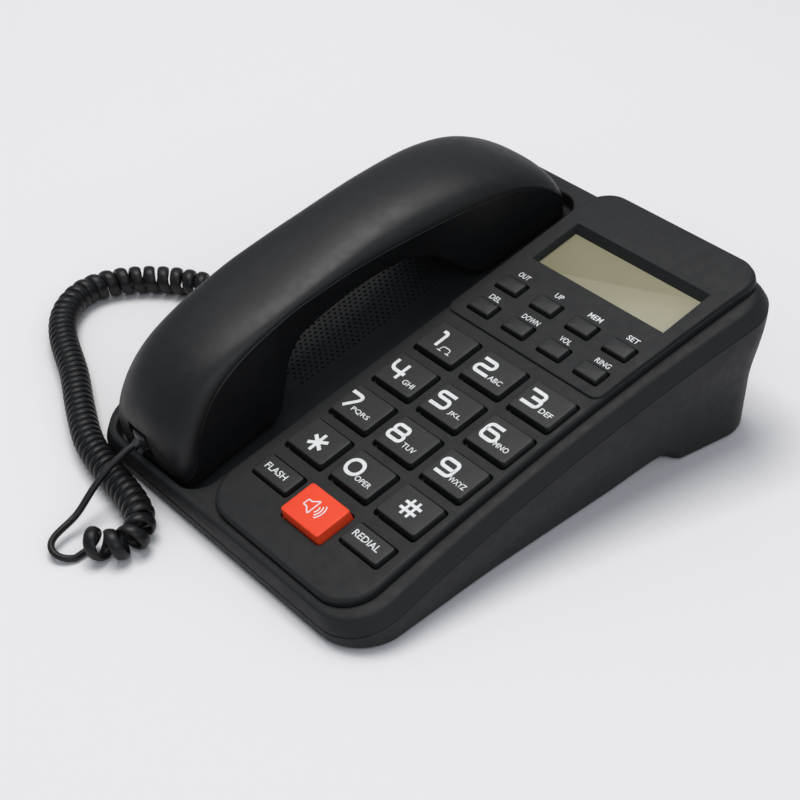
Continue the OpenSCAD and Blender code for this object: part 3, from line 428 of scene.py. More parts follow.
def tube_mesh(name, line, d, outs=None, wide=None):
    """A closed tube along a line, with rings that don't twist.

    With outs it is flat: a ring is as wide along the coil as wide says for it and
    thinner the way out from its middle, and turns round again at both ends.
    """
    line = np.array(line)
    ahead = np.gradient(line, axis=0)
    ahead /= np.linalg.norm(ahead, axis=1)[:, None]
    side = np.cross(ahead[0], [0, 0, 1])
    points = []
    for i, (place, way) in enumerate(zip(line, ahead)):
        if outs is not None:
            side = outs[i]
        side = unit(side - way * (side @ way))
        up = np.cross(way, side)
        flat = 0 if outs is None else smooth_step(min(i, len(line) - 1 - i) / flat_rings)
        thin_r = mix(d / 2, flat_t / 2, flat)
        wide_r = mix(d / 2, wide[i] / 2 if wide else d / 2, flat)
        for k in range(cord_sides):
            a = 2 * math.pi * k / cord_sides
            points.append((place + thin_r * math.cos(a) * side + wide_r * math.sin(a) * up) * MM)
    faces = []
    for ring in range(len(line) - 1):
        for k in range(cord_sides):
            low, high = ring * cord_sides, (ring + 1) * cord_sides
            n = (k + 1) % cord_sides
            faces.append((low + k, low + n, high + n, high + k))
    last = (len(line) - 1) * cord_sides
    faces.append(tuple(reversed(range(cord_sides))))
    faces.append(tuple(range(last, last + cord_sides)))
    mesh = bpy.data.meshes.new(name)
    mesh.from_pydata(points, [], faces)
    mesh.shade_smooth()
    mesh.set_sharp_from_angle(angle=math.radians(50))
    mesh.materials.append(cord_finish)
    return mesh


nearest = [min(max(i - 1, 0) // curl_steps, len(eighths) - 1) for i in range(len(curl_line))]
widths = [min(flat_w, flat_share * pitch_at(eighths[k])) for k in nearest]
coil = add("curly_cord", tube_mesh("curly_cord", curl_line, lead_d, curl_outs, widths))
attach(coil, "base")
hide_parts("coil_cord")
print("curly cord:", len(curl_line), "points")

# %% [markdown]
# ## The two leads
# Each end of the curly cord runs out straight into its plug. The lead at the
# handset has to follow the handset when it is lifted, but here it is a plain
# mesh that is tied to neither body. The other lead never moves, and a curve
# does for it.

# %% Leads
lead_smoothings = 14
deck_right = base_w / 2 - 8.7
deck_w = 85.6
tub_right = deck_right - deck_w - 3
handset_x = tub_right - 31
handset_s = 3.8
handset_jack_h = 8.8
handset_plug_out = 3.4
plug_out = 8
cord_jack_x = -61
cord_jack_y = 16
cord_jack_z = 8.5
jack_l = 13
handset_lead_route = [
    (-0.045, -0.1116, 0.0174), (-0.044, -0.1184, 0.0143), (-0.0422, -0.1252, 0.0106),
    (-0.0401, -0.1313, 0.0069), (-0.0394, -0.1372, 0.0049), (-0.0363, -0.1455, 0.0045),
    (-0.031, -0.1477, 0.0032), (-0.0269, -0.1455, 0.002),
]
base_lead_route = [
    (-0.1376, -0.0014, 0.0015), (-0.1346, 0.005, 0.0015), (-0.127, 0.01, 0.0015),
    (-0.115, 0.0134, 0.0016), (-0.104, 0.0152, 0.003), (-0.095, 0.0158, 0.0056),
]
handset_lead_start = np.array(from_slope(handset_x, handset_s - handset_plug_out, handset_jack_h))
handset_lead_dir = np.array([0, -math.cos(tilt), -math.sin(tilt)])
base_lead_end = np.array([cord_jack_x - jack_l - plug_out, cord_jack_y, cord_jack_z])


def lead_line(before, route, after):
    """A lead with a straight end at each side of its route, in millimetres."""
    middle = [before[1]] + [np.array(p) / MM for p in route] + [after[0]]
    line = [before[0]] + through(middle, 6) + [after[1]]
    for _ in range(lead_smoothings):
        inner = [(a + 2 * b + c) / 4 for a, b, c in zip(line[1:-3], line[2:-2], line[3:-1])]
        line = line[:2] + inner + line[-2:]
    return line


handset_lead_line = lead_line(
    (handset_lead_start, handset_lead_start + lead_d * handset_lead_dir),
    handset_lead_route,
    (coil_start - lead_d * curl_end_dir(0), coil_start),
)
base_lead_line = lead_line(
    (coil_end, coil_end + lead_d * curl_end_dir(8 * curls)),
    base_lead_route,
    (base_lead_end - np.array([lead_d, 0, 0]), base_lead_end),
)

handset_cable = add("handset_cable", tube_mesh("handset_cable", handset_lead_line, lead_d))
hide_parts("handset_lead")
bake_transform(handset_cable)

base_cable = round_cable("base_cable", base_lead_line, lead_d)
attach(base_cable, "base")
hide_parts("base_lead")
for name, line in (("handset lead", handset_lead_line), ("base lead", base_lead_line)):
    print(name, round(length_of(line)), "mm")

# %% [markdown]
# ## Solids that are cut like real mouldings
# The case is a set of thin mouldings with openings. Each could be pulled
# together with a subdivision surface, but the openings would need support
# loops everywhere. Here every form is a loft through rings of points, and
# openings are cut with exact booleans, in millimetres. Sharp edges get a
# small round by giving the loft or the cutter one or two extra rings.

# %% Lines and rings
def smooth_line(points):
    """A smooth line through (place, value) points that never swings past them."""
    x = np.array([p[0] for p in points], float)
    y = np.array([p[1] for p in points], float)
    step = np.diff(x)
    slope = np.diff(y) / step
    way = np.zeros(len(x))
    way[0] = slope[0]
    way[-1] = slope[-1]
    for i in range(1, len(x) - 1):
        if slope[i - 1] * slope[i] > 0:
            before = 2 * step[i] + step[i - 1]
            after = step[i] + 2 * step[i - 1]
            way[i] = (before + after) / (before / slope[i - 1] + after / slope[i])

    def at(place):
        place = min(max(place, x[0]), x[-1])
        i = min(int(np.searchsorted(x, place, side="right")) - 1, len(x) - 2)
        t = (place - x[i]) / step[i]
        return float(
            (2 * t**3 - 3 * t**2 + 1) * y[i] + (t**3 - 2 * t**2 + t) * step[i] * way[i]
            + (3 * t**2 - 2 * t**3) * y[i + 1] + (t**3 - t**2) * step[i] * way[i + 1]
        )

    return at


def smooth_rows(rows, count):
    """Reads rows of numbers as smooth lines, and returns count rows along them."""
    lines = [smooth_line([(i, row[k]) for i, row in enumerate(rows)]) for k in range(len(rows[0]))]
    return [[line(t) for line in lines] for t in np.linspace(0, len(rows) - 1, count)]


def round_rect(w, l, r, steps=8, middle=(0, 0)):
    """Outline of a rectangle with round corners, anticlockwise."""
    points = []
    for sx, sy, start in ((1, -1, -90), (1, 1, 0), (-1, 1, 90), (-1, -1, 180)):
        for k in range(steps + 1):
            a = math.radians(start + 90 * k / steps)
            points.append((
                middle[0] + sx * (w / 2 - r) + r * math.cos(a),
                middle[1] + sy * (l / 2 - r) + r * math.sin(a),
            ))
    return points


def circle(x, y, d, steps=24):
    return [
        (x + d / 2 * math.cos(2 * math.pi * k / steps), y + d / 2 * math.sin(2 * math.pi * k / steps))
        for k in range(steps)
    ]


def at_height(outline, h):
    return [(p[0], p[1], h) for p in outline]


print("a rounded 10 mm square has", len(round_rect(10, 10, 2)), "points")


# %% Lofts and cuts
def outward_mesh(name, points, faces):
    """A mesh whose faces all look out."""
    mesh = bpy.data.meshes.new(name)
    mesh.from_pydata(points, [], faces)
    shape = bmesh.new()
    shape.from_mesh(mesh)
    bmesh.ops.recalc_face_normals(shape, faces=shape.faces)
    shape.to_mesh(mesh)
    shape.free()
    return mesh


def loft(*stacks):
    """One form of closed lofts. Each stack is a list of rings from low to high."""
    points = []
    faces = []
    for rings in stacks:
        n = len(rings[0])
        first = len(points)
        for ring in rings:
            points.extend(tuple(p) for p in ring)
        for k in range(len(rings) - 1):
            for i in range(n):
                a = first + k * n + i
                b = first + k * n + (i + 1) % n
                faces.append((a, b, b + n, a + n))
        top = first + (len(rings) - 1) * n
        faces.append(tuple(range(first + n - 1, first - 1, -1)))
        faces.append(tuple(range(top, top + n)))
    return add("form", outward_mesh("form", points, faces))


def straight(outline, low, high):
    return [at_height(outline, low), at_height(outline, high)]


def cut(form, tool, way="DIFFERENCE"):
    """Cuts a tool away from a form, or joins it on, and drops the tool."""
    step = form.modifiers.new("cut", "BOOLEAN")
    step.operation = way
    step.solver = "EXACT"
    step.object = tool
    shown = form.evaluated_get(bpy.context.evaluated_depsgraph_get())
    mesh = bpy.data.meshes.new_from_object(shown)
    form.modifiers.clear()
    form.data = mesh
    bpy.data.objects.remove(tool)
    return form


def carve(form, *stacks):
    """Cuts lofts away from a form."""
    return cut(form, loft(*stacks))


def join(form, *stacks):
    """Joins lofts on to a form."""
    return cut(form, loft(*stacks), "UNION")


smooth_angle = math.radians(28)


def piece(form, name, finish, body="base", replaces=(), sloping=True):
    """Turns a form in millimetres into a finished piece of the telephone."""
    mesh = form.data
    for corner in mesh.vertices:
        place = from_slope(*corner.co) if sloping else corner.co
        corner.co = Vector(place) * MM
    mesh.materials.clear()
    mesh.materials.append(finish)
    mesh.polygons.foreach_set("material_index", [0] * len(mesh.polygons))
    mesh.shade_smooth()
    mesh.set_sharp_from_angle(angle=smooth_angle)
    mesh.update()
    form.name = name
    mesh.name = name
    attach(form, body)
    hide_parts(*replaces)
    print(name, len(mesh.polygons), "faces")
    return form


# %% [markdown]
# ## Finishes of the plastics
# The case is moulded ABS with a fine spark-eroded texture: black, but worn a
# little paler and smoother where hands pass. A photograph on the plastic
# would fix the light into it, so the texture is worked out: two noises bend
# the normal, a third varies the gloss, and the mesh's own sharp edges get
# the wear, which the Geometry node gives as pointiness.

# %% Moulded plastic
def moulded(name, dark, pale, gloss, grain, depth, wear=0.35, shine=0.4):
    """Textured plastic: grain is the size of its texture in cells a metre."""
    finish, tree, shader = new_finish(name)
    tone = spread(tree, noise(tree, 55, 4), 0, 1)
    colour = blend_colours(tree, tone, dark, pale)
    geometry = tree.nodes.new("ShaderNodeNewGeometry")
    edges = spread(tree, geometry.outputs["Pointiness"], 0, wear, 0.52, 0.6)
    worn = tuple(min(1, 1.9 * v + 0.006) for v in pale)
    tree.links.new(blend_colours(tree, edges, colour, worn), shader.inputs["Base Color"])
    rough = spread(tree, noise(tree, 240, 3), gloss[0], gloss[1])
    tree.links.new(rough, shader.inputs["Roughness"])
    coarse = bump(tree, noise(tree, grain, 3), depth, 0.55)
    fine = bump(tree, noise(tree, grain * 3.1, 2), depth * 0.4, 0.5, coarse)
    tree.links.new(fine, shader.inputs["Normal"])
    shader.inputs["Specular IOR Level"].default_value = shine
    return finish


case_plastic = moulded(
    "case_plastic", (0.012, 0.0125, 0.013), (0.015, 0.0155, 0.016), (0.5, 0.62), 2600, 0.00006,
    shine=0.27,
)
handset_plastic = moulded(
    "handset_plastic", (0.005, 0.0052, 0.0056), (0.007, 0.0072, 0.0076), (0.38, 0.48), 2900, 0.00004,
)
key_plastic = moulded(
    "key_plastic", (0.009, 0.0095, 0.0095), (0.012, 0.0125, 0.0125), (0.42, 0.52), 3400, 0.00003,
)
speaker_key_plastic = moulded(
    "speaker_key_plastic", (0.93, 0.06, 0.014), (0.97, 0.072, 0.018), (0.42, 0.52), 3400, 0.00003,
    0.15, 0.3,
)
print("plastics:", [m.name for m in bpy.data.materials if "plastic" in m.name])

# %% [markdown]
# ## The bottom case
# The lower half of the case stands on four rubber feet. Its sides lean in
# towards the table, and a long arch is hollowed out of each, so that the
# telephone seems to float. Every ring of the loft runs round the whole case
# at a share of the height, so that one ring can follow the edge of the arch.

# %% Outline of the case
waist = 4
front_r = 20
rear_r = 17.5
part_drop = 6.2
wall_flare = 6
wall = 2.2
flare_drop = 36
front_lean = 0.7
rear_lean = 2.4
wide_y = base_l / 2 - 18
side_y = np.arange(-60, 72.1, 1.5)
corner_steps = 14
crease_line = smooth_line([
    (-84, 1.4), (-60, 3.2), (-42, 5.8), (-24, 10.8), (-3, 17.3), (14, 20), (25, 20.5),
    (33, 19.3), (41, 17), (48, 12.4), (54, 6.3), (58.5, 2), (62, 17), (90, 17),
])
underside_in = smooth_line([
    (-84, 1), (-60, 1.9), (-42, 3), (-3, 5.4), (14, 6.8), (25, 7.9), (33, 9), (41, 10.2),
    (54, 11.7), (58.5, 6.3), (72, 6.2), (90, 6.6),
])


def half_w(y):
    return base_w / 2 - waist * (1 - (y / wide_y) ** 2)


def part_z(y):
    return slope_z(y) - part_drop / math.cos(tilt)


def side_stations(front_in, rear_in):
    """Places from front to rear as (y, how far the corner sets the side in)."""
    f = front_y + front_in + front_r
    r = -front_y - rear_in - rear_r
    turns = quarter(corner_steps)
    return (
        [(f - front_r * math.cos(a), front_r * (1 - math.sin(a))) for a in turns]
        + [(y, 0) for y in side_y]
        + [(r + rear_r * math.sin(a), rear_r * (1 - math.cos(a))) for a in turns]
    )


def mirrored(side):
    """A right side and its mirror image as one ring."""
    return side + [(-x, y, z) for x, y, z in reversed(side)]


def flare_in(drop):
    return wall_flare * smooth_step(drop / flare_drop)


def lower_in(y, z):
    """How far the side of the bottom case is drawn in at a place."""
    crease = case_z + crease_line(y)
    if z >= crease:
        return flare_in(part_z(y) - z)
    share = max(0, (crease - z) / (crease - case_z)) ** 0.8
    return mix(flare_in(part_z(y) - crease), underside_in(y), share)


def lower_ring(level, inset=0, low=case_z, lift=0):
    """A ring of the bottom case: 0 is its underside, 1 the crease, 2 the parting line."""
    ring = []
    lean = 1 - level / 2
    for y, corner in side_stations(front_lean * lean + inset, rear_lean * lean + inset):
        crease = max(case_z + crease_line(y), low + 0.3)
        z = mix(low, crease, level) if level < 1 else mix(crease, part_z(y), level - 1)
        ring.append((half_w(y) - lower_in(y, z) - inset - corner, y, z + lift))
    return mirrored(ring)


print("a ring of the case has", len(lower_ring(0)), "points")

# %% Bottom case
seam = 0.18
foot_round = 0.5
levels = [0.12, 0.3, 0.5, 0.7, 0.86, 0.95, 1, 1.05, 1.15, 1.3, 1.45, 1.6, 1.75, 1.9]
edge_rings = [
    lower_ring(0, foot_round * (1 - math.sin(a)), lift=0.25 * (1 - math.cos(a)))
    for a in quarter(3)[:-1]
]
shell = loft(
    edge_rings
    + [lower_ring(level) for level in levels]
    + [lower_ring(2, lift=-0.45), lower_ring(2, 0.25, lift=-seam), lower_ring(2, 1.1, lift=-seam)]
)
floor_top = case_z + 2
inner_rings = [lower_ring(level, wall, floor_top) for level in (0, 0.5, 1, 1.45, 2)]
carve(shell, inner_rings + [lower_ring(2, wall, floor_top, 2)])
left_screw_x = tub_right + 5.3
screw_places = [(left_screw_x, -72), (74, -72), (left_screw_x, 84), (71, 84)]
boss_d = 7
boss_top = floor_top + 5
standoff_d = 6
main_board_z = 18
sunk = 0.5
bosses = [straight(circle(x, y, boss_d), floor_top - sunk, boss_top) for x, y in screw_places]
standoffs = [
    straight(circle(handset_x + x, y, standoff_d), floor_top - sunk, main_board_z)
    for x in (-16.7, 25.3)
    for y in (35, 78)
]
join(shell, *bosses, *standoffs)
print("bottom case with", len(bosses), "bosses and", len(standoffs), "standoffs")

# %% Screw holes and jack windows of the bottom case
head_bore = 6.2
shank_bore = 3.4


def countersink(x, y, face, mouth, chamfer, deep, end):
    """The cutter of a screw hole: a recess from the face for the head, then the shank's bore."""
    rows = [
        (face - 1, 7), (face, mouth), (face + chamfer, head_bore), (face + deep, head_bore),
        (face + deep + 0.001, shank_bore), (end, shank_bore),
    ]
    return [at_height(circle(x, y, d), h) for h, d in rows]


countersinks = [countersink(x, y, case_z, 6.8, 0.3, 3, 20) for x, y in screw_places]
jack_w = 12
jack_h = 11
line_jack_x = handset_x + 22.3
line_jack_z = 19.6 + jack_h / 2
window_r = 0.6
line_window = round_rect(jack_w + 0.6, jack_h + 0.6, window_r, 3)
cord_window = round_rect(jack_w + 0.6, jack_h + 0.4, window_r, 3)
line_cut = [
    [(line_jack_x + x, y, line_jack_z + z) for x, z in reversed(line_window)] for y in (87, 115)
]
cord_cut = [
    [(x, cord_jack_y + y, cord_jack_z + 0.2 + z) for y, z in cord_window] for x in (-100, -68)
]
carve(shell, *countersinks, line_cut, cord_cut)
piece(shell, "lower_case_half", case_plastic, replaces=["bottom_case"], sloping=False)

# %% [markdown]
# ## The top case
# The upper half is level with the slope of the telephone: a shoulder all
# round with a softly rounded rim, a raised deck for the keys with a fine
# groove round it, and a long tub that cradles the handset. The tub's floor
# has some 360 small holes over the loudspeaker. All of it is worked out in
# slope coordinates, x to the right, s up the slope and h square to it.

# %% Rings of the shoulder and the deck
deck_x = deck_right - deck_w / 2
deck_s = 4
deck_l = base_l / math.cos(tilt) - deck_s - 0.8
deck_r = 16
deck_rear_r = 12
deck_h = 3
deck_under = 0.8
deck_skirt = 4.5
deck_waist = 2.6
panel_front = 122.6
panel_top = 4
key_x = deck_x + 0.5


def upper_ring(drop, inset, front_in, rear_in):
    """A ring of the shoulder, level with the slope."""
    return mirrored([
        (half_w(y) - inset - corner, (y - front_y) / math.cos(tilt) - drop * math.tan(tilt), -drop)
        for y, corner in side_stations(front_in, rear_in)
    ])


def deck_half(s):
    t = (s - deck_s - deck_l / 2) / (0.42 * deck_l)
    return deck_w / 2 - deck_waist * (1 - t * t)


def deck_outline(inset, front=deck_s, r=deck_r, rear_in=0):
    f = front + inset + r
    b = deck_s + deck_l - inset - rear_in - deck_rear_r
    turns = quarter(12)
    side = [(f - r * math.cos(a), r * (1 - math.sin(a))) for a in turns]
    side += [(mix(f, b, k / 24), 0) for k in range(1, 24)]
    side += [(b + deck_rear_r * math.sin(a), deck_rear_r * (1 - math.cos(a))) for a in turns]
    right = [(deck_x + deck_half(s) - inset - corner, s) for s, corner in side]
    left = [(deck_x - deck_w / 2 + inset + corner, s) for s, corner in reversed(side)]
    return right + left


def rounded_edge(make, low, high, inset, steps=6):
    """Rings that round the upper edge of a form over, from low to high."""
    return [
        at_height(make(inset * (1 - math.cos(a))), mix(low, high, math.sin(a)))
        for a in quarter(steps)
    ]


print("deck:", round(deck_w, 1), "x", round(deck_l, 1), "mm")


# %% Keys: their places
Key = namedtuple("Key", "x s w l top r")
column_pitch = 26
row_pitch = 20.7
number_row_s = 47.4
small_w = 11
small_x = key_x - 0.8
small_column_pitch = 19.3
small_row_pitch = 14.3
number_w = 20.6


def number_key(column, row):
    return Key(
        key_x + (column - 1) * column_pitch, number_row_s + row * row_pitch, number_w, 15.2,
        deck_h + 2, 1.2,
    )


def function_key(side):
    return Key(key_x + side * 25.7, 28.6, 19.6, 9, deck_h + 1.8, 1)


def small_key(column, row):
    return Key(
        small_x + (column - 1.5) * small_column_pitch, panel_front + 8.8 + row * small_row_pitch,
        small_w, 6, panel_top + 1.8, 0.8,
    )


number_rows = [("star", "0", "hash"), ("7", "8", "9"), ("4", "5", "6"), ("1", "2", "3")]
small_rows = [("delete", "down", "volume", "ring"), ("out", "up", "memory", "set")]
key_places = {
    "key_" + name: number_key(column, row)
    for row in (3, 2, 1, 0)
    for column, name in enumerate(number_rows[row])
}
key_places["key_flash"] = function_key(-1)
key_places["key_redial"] = function_key(1)
key_places["key_speaker"] = Key(key_x + 0.6, 25.7, 21.4, 15.2, deck_h + 3.5, 1.2)
key_places.update({
    "key_" + name: small_key(column, row)
    for row in (1, 0)
    for column, name in enumerate(small_rows[row])
})
small_keys = [name for name, key in key_places.items() if key.w == small_w]
key_draft = 0.5
key_gap = 0.35


def key_opening(key, low, high):
    """The hole for a key, with its upper edge flared a little."""
    grow = key_draft + key_gap
    rows = [
        (grow, low), (grow, high - 0.3), (grow + 0.06, high - 0.12), (grow + 0.3, high + 0.12),
    ]
    return [
        at_height(
            round_rect(key.w + 2 * g, key.l + 2 * g, key.r + g - key_draft, 6, (key.x, key.s)), h
        )
        for g, h in rows
    ]


print(len(key_places), "keys,", len(small_keys), "of them small")

# %% Top case
rim_rows = [
    (part_drop, 0, 0, 0), (4.8, 0.5, 0.05, 0.4), (3.4, 1.2, 0.1, 0.9), (1.6, 2, 0.3, 2.2),
    (0.5, 2.5, 0.5, 3.6), (0, 3.4, 1.2, 4.8),
]
rim_rings = [upper_ring(*row) for row in smooth_rows(rim_rows, 22)]
seat_rings = [
    upper_ring(part_drop, 1.1, 1.1, 1.1),
    upper_ring(part_drop, 0.25, 0.25, 0.25),
    upper_ring(part_drop - 0.3, 0, 0, 0),
]
shell = loft(seat_rings + rim_rings[1:])
carve(shell, [
    upper_ring(part_drop + 1, wall, wall, wall),
    upper_ring(3.4, wall + 1.2, wall + 0.1, wall + 0.9),
    upper_ring(wall, wall + 1.8, wall + 0.2, wall + 2),
])
groove = [at_height(deck_outline(-0.45), h) for h in (-0.7, 6)]
carve(shell, groove)
deck_rings = [at_height(deck_outline(1.2), -deck_skirt), at_height(deck_outline(0), -0.8)]
join(shell, deck_rings + rounded_edge(deck_outline, deck_h - 1.2, deck_h, 1.5))

tub_w = 59.5
tub_l = 195.2
tub_x = tub_right - tub_w / 2
tub_s = 3.2 + tub_l / 2
tub_r = 10
tub_depth = 6.8
tub_t = 1.6


def tub_outline(grow):
    return round_rect(tub_w + 2 * grow, tub_l + 2 * grow, tub_r + grow, 10, (tub_x, tub_s))


join(shell, straight(tub_outline(tub_t), -tub_depth - tub_t, -1.2))
hollow = loft(straight(deck_outline(1.7, rear_in=1.6), -deck_skirt - 1, deck_under))
carve(hollow, straight(tub_outline(tub_t + 0.01), -20, 5))
cut(shell, hollow)
floor_r = 1.4
rim_r = 0.9


def turn_of(degrees):
    """How far a quarter arc of radius 1 has gone over and up at an angle."""
    a = math.radians(degrees)
    return 1 - math.cos(a), math.sin(a)


tub_profile = []
for degrees in (0, 22.5, 45, 67.5, 90):
    over, up = turn_of(degrees)
    tub_profile.append((-floor_r * (1 - up), -tub_depth + floor_r * over))
for degrees in (0, 25, 50, 70):
    over, up = turn_of(degrees)
    tub_profile.append((rim_r * over, -rim_r + rim_r * up))
tub_profile += [(rim_r + 0.05, 0.05), (rim_r + 0.05, 6)]
carve(shell, [at_height(tub_outline(grow), h) for grow, h in tub_profile])
print("shell with its tub:", len(shell.data.polygons), "faces")

# %% Holes of the top case
holes = []
hole_d = 1.2
hole_pitch = 2.6
hole_x = -62.2
hole_s = 67.6
for column in range(13):
    for row in range(28):
        x = hole_x + column * hole_pitch * 0.87
        s = hole_s + (row + 0.5 * (column % 2)) * hole_pitch
        holes.append(straight(circle(x, s, hole_d, 10), -tub_depth - tub_t - 1, -tub_depth + 0.5))
carve(shell, *holes)
print("holes over the loudspeaker:", len(holes))


def to_slope(x, y, z):
    """A frame place in millimetres as a place on the slope."""
    back = y - front_y
    up = z - shoulder_z
    return (
        x,
        back * math.cos(tilt) + up * math.sin(tilt),
        up * math.cos(tilt) - back * math.sin(tilt),
    )


hook_y = 63.65
hook_hole = round_rect(9.5, 7.5, 0.6, 3, (handset_x, hook_y))
plunger_cut = [[to_slope(x, y, z) for x, y in hook_hole] for z in (30, 60)]
carve(shell, *[
    key_opening(key, -3, deck_h + 2 if name in small_keys else deck_h)
    for name, key in key_places.items()
])
lcd_block = (74.5, 30.7, 1.5)
lcd_middle = (key_x + 1.9, panel_front + 49.9)
lcd_hole = straight(round_rect(75, 31.2, 1.75, 5, lcd_middle), -8, panel_top + 2)
carve(shell, plunger_cut, lcd_hole)
post_d = 5
post_reach = 32
board_h = -5.4
posts = [
    straight(circle(key_x + side * post_reach, s, post_d, 16), board_h, deck_under + 0.3)
    for side in (-1, 1)
    for s in (17.5, 123)
]
join(shell, *posts)
piece(shell, "upper_case_half", case_plastic, replaces=["top_case"])

# %% [markdown]
# ## The display panel
# A thin panel lies on the upper end of the deck. It frames the display in a
# shallow recess. Three of its walls are steep and the rear one leans back,
# so that light from above reaches the display. The display shows nothing:
# the telephone is not connected.

# %% Display panel
def panel_outline(inset):
    return deck_outline(0.5 + inset, panel_front, 4)


panel_edge = rounded_edge(panel_outline, panel_top - 0.5, panel_top, 0.6)
panel = loft([at_height(panel_outline(0), deck_h - 0.02)] + panel_edge)
block = round_rect(*lcd_block, 5, lcd_middle)
join(panel, straight(block, -2, deck_h + 0.5))
pane_h = 0.8
pane_t = 1.2
pane_middle = (33.15, lcd_middle[1])


def pane_outline(inset):
    return round_rect(72.9 - 2 * inset, 27.7 - 2 * inset, 1, 4, pane_middle)


def recess(left, right, front, rear, h):
    return [(left, front, h), (right, front, h), (right, rear, h), (left, rear, h)]


carve(panel, straight(pane_outline(-0.05), -3, pane_h))
carve(panel, [
    recess(-2.5, 65.9, 161.9, 183, pane_h - 0.2),
    recess(-3.2, 66.2, 161.7, 185.7, panel_top - 0.35),
    recess(-3.4, 66.4, 161.5, 185.9, panel_top - 0.08),
    recess(-3.9, 66.9, 161, 186.4, panel_top + 0.3),
])
carve(panel, *[key_opening(key_places[name], -10, panel_top) for name in small_keys])
piece(panel, "display_panel", case_plastic, replaces=["display_bezel"])

# %% Display pane
# The greenish grey of a display that is switched off, behind clear plastic
display_grey = mottled(
    "display_grey", ((0.272, 0.246, 0.148), (0.282, 0.256, 0.155)), (90, 3), (0.33, 0.37, 60, 2),
    (1800, 2), 0.000004, 0.2, {"Coat Weight": 0.08, "Coat Roughness": 0.08},
)
pane_edge = rounded_edge(pane_outline, pane_h - 0.25, pane_h, 0.2, 3)
pane = loft([at_height(pane_outline(0), pane_h - pane_t)] + pane_edge)
piece(pane, "display_pane", display_grey, replaces=["lcd_window"])

# %% [markdown]
# ## The keys
# A key on such a telephone is a small moulding with sloping sides, a soft
# upper edge, a flange that keeps it under the deck and a stem that presses
# the rubber mat. The number keys have a front edge that bows out, and the
# small ones under the display are domed. They could all be one cube with a
# bevel, but the bow and the dome are what the eye sees first.

# %% Key shapes
stem_h = -2.8
flange_out = 0.7
number_bow = 0.8


def key_outline(key, grow, bow):
    """The outline of a key with its front corners set back by the bow."""
    outline = []
    corner = key.r + max(grow, -0.4 * key.r)
    for px, ps in round_rect(key.w + 2 * grow, key.l + 2 * grow, corner, 7):
        if ps < 0:
            ps += bow * min(1, (2 * px / key.w) ** 2) * min(1, -2 * ps / key.l)
        outline.append((key.x + px, key.s + ps))
    return outline


def key_form(key, bow, dome, edge):
    """The upper part of a key as a loft that ends in a domed top."""
    foot = deck_under - key_gap / 3 - 0.2
    brim = key.top - edge
    share = (key.top - brim) / (key.top - deck_under)
    rings = [at_height(key_outline(key, key_draft, bow), h) for h in (foot, deck_under)]
    turns = 6
    for k, a in enumerate(quarter(turns)):
        inset = edge * 0.9 * (1 - math.cos(a)) - key_draft * share * (1 - k / turns)
        rings.append(at_height(key_outline(key, -inset, bow), brim + (edge - dome) * math.sin(a)))
    top_ring = key_outline(key, -edge * 0.9, bow)
    for k in range(1, 7):
        out = 1 - k / 7
        rings.append([
            (key.x + (px - key.x) * out, key.s + (ps - key.s) * out, key.top - dome * out**2)
            for px, ps in top_ring
        ])
    return rings


def key_piece(name, key, finish):
    small = name in small_keys
    bow = number_bow if key.w == number_w else 0
    dome, edge = (0.2, 0.7) if small else (0.1, 0.45)
    low = deck_under - key_gap / 3 - 1
    grow = 2 * (key_draft + flange_out)
    flange = round_rect(key.w + grow, key.l + grow, 0.4, 2, (key.x, key.s))
    form = loft(key_form(key, bow, dome, edge))
    join(form, straight(flange, low, low + 1))
    join(form, straight(circle(key.x, key.s, 4, 16), stem_h, low + 0.2))
    piece(form, name + "_cap", finish, body=name + "_button", replaces=[name])


for name, key in key_places.items():
    red = name == "key_speaker"
    key_piece(
        name, key, speaker_key_plastic if red else key_plastic,
    )

# %% [markdown]
# ## What is printed on the keys
# Pad printing leaves a film of ink a few hundredths of a millimetre thick.
# The large figures are drawn as ribbons along their middle lines, in the
# wide square style with round corners that such keys carry. The small
# letters are short pieces of text in a plain typeface.

# %% Printing ink
# Off-white ink, dull, with a little of the plastic's texture
ink = mottled(
    "printing_ink", ((0.74, 0.74, 0.73), (0.86, 0.86, 0.85)), (500, 3), (0.5, 0.65, 900, 2),
    (3400, 2), 0.00002, 0.4,
)


def rounded(points, radius, closed):
    """A line with its corners turned into arcs, as a list of points."""
    places = [np.array(p, float) for p in points]
    count = len(places)
    line = []
    for i, place in enumerate(places):
        if not closed and i in (0, count - 1):
            line.append(place)
            continue
        before, after = places[i - 1], places[(i + 1) % count]
        back, on = before - place, after - place
        turn = math.acos(np.clip(back @ on / np.linalg.norm(back) / np.linalg.norm(on), -1, 1))
        reach = radius / math.tan(turn / 2)
        reach = min(reach, 0.48 * np.linalg.norm(back), 0.48 * np.linalg.norm(on))
        start = place + unit(back) * reach
        end = place + unit(on) * reach
        pull = 0.83 * place + 0.085 * (start + end)
        for k in range(9):
            t = k / 8
            line.append((1 - t) ** 2 * start + 2 * t * (1 - t) * pull + t * t * end)
    return line


def ribbon(line, width, low, high, closed):
    """A thin ribbon along a line on the slope: its points and faces."""
    count = len(line)
    points = []
    for i, place in enumerate(line):
        before = line[i - 1] if closed or i else place
        after = line[(i + 1) % count] if closed or i < count - 1 else place
        way = unit(np.array(after) - np.array(before))
        side = np.array([-way[1], way[0]]) * width / 2
        left, right = place + side, place - side
        points += [(*left, high), (*right, high), (*right, low), (*left, low)]
    faces = []
    for i in range(count if closed else count - 1):
        a, b = 4 * i, 4 * ((i + 1) % count)
        for k in range(4):
            n = (k + 1) % 4
            faces.append((a + k, b + k, b + n, a + n))
    if not closed:
        faces += [(0, 1, 2, 3), tuple(4 * (count - 1) + k for k in (3, 2, 1, 0))]
    return points, faces


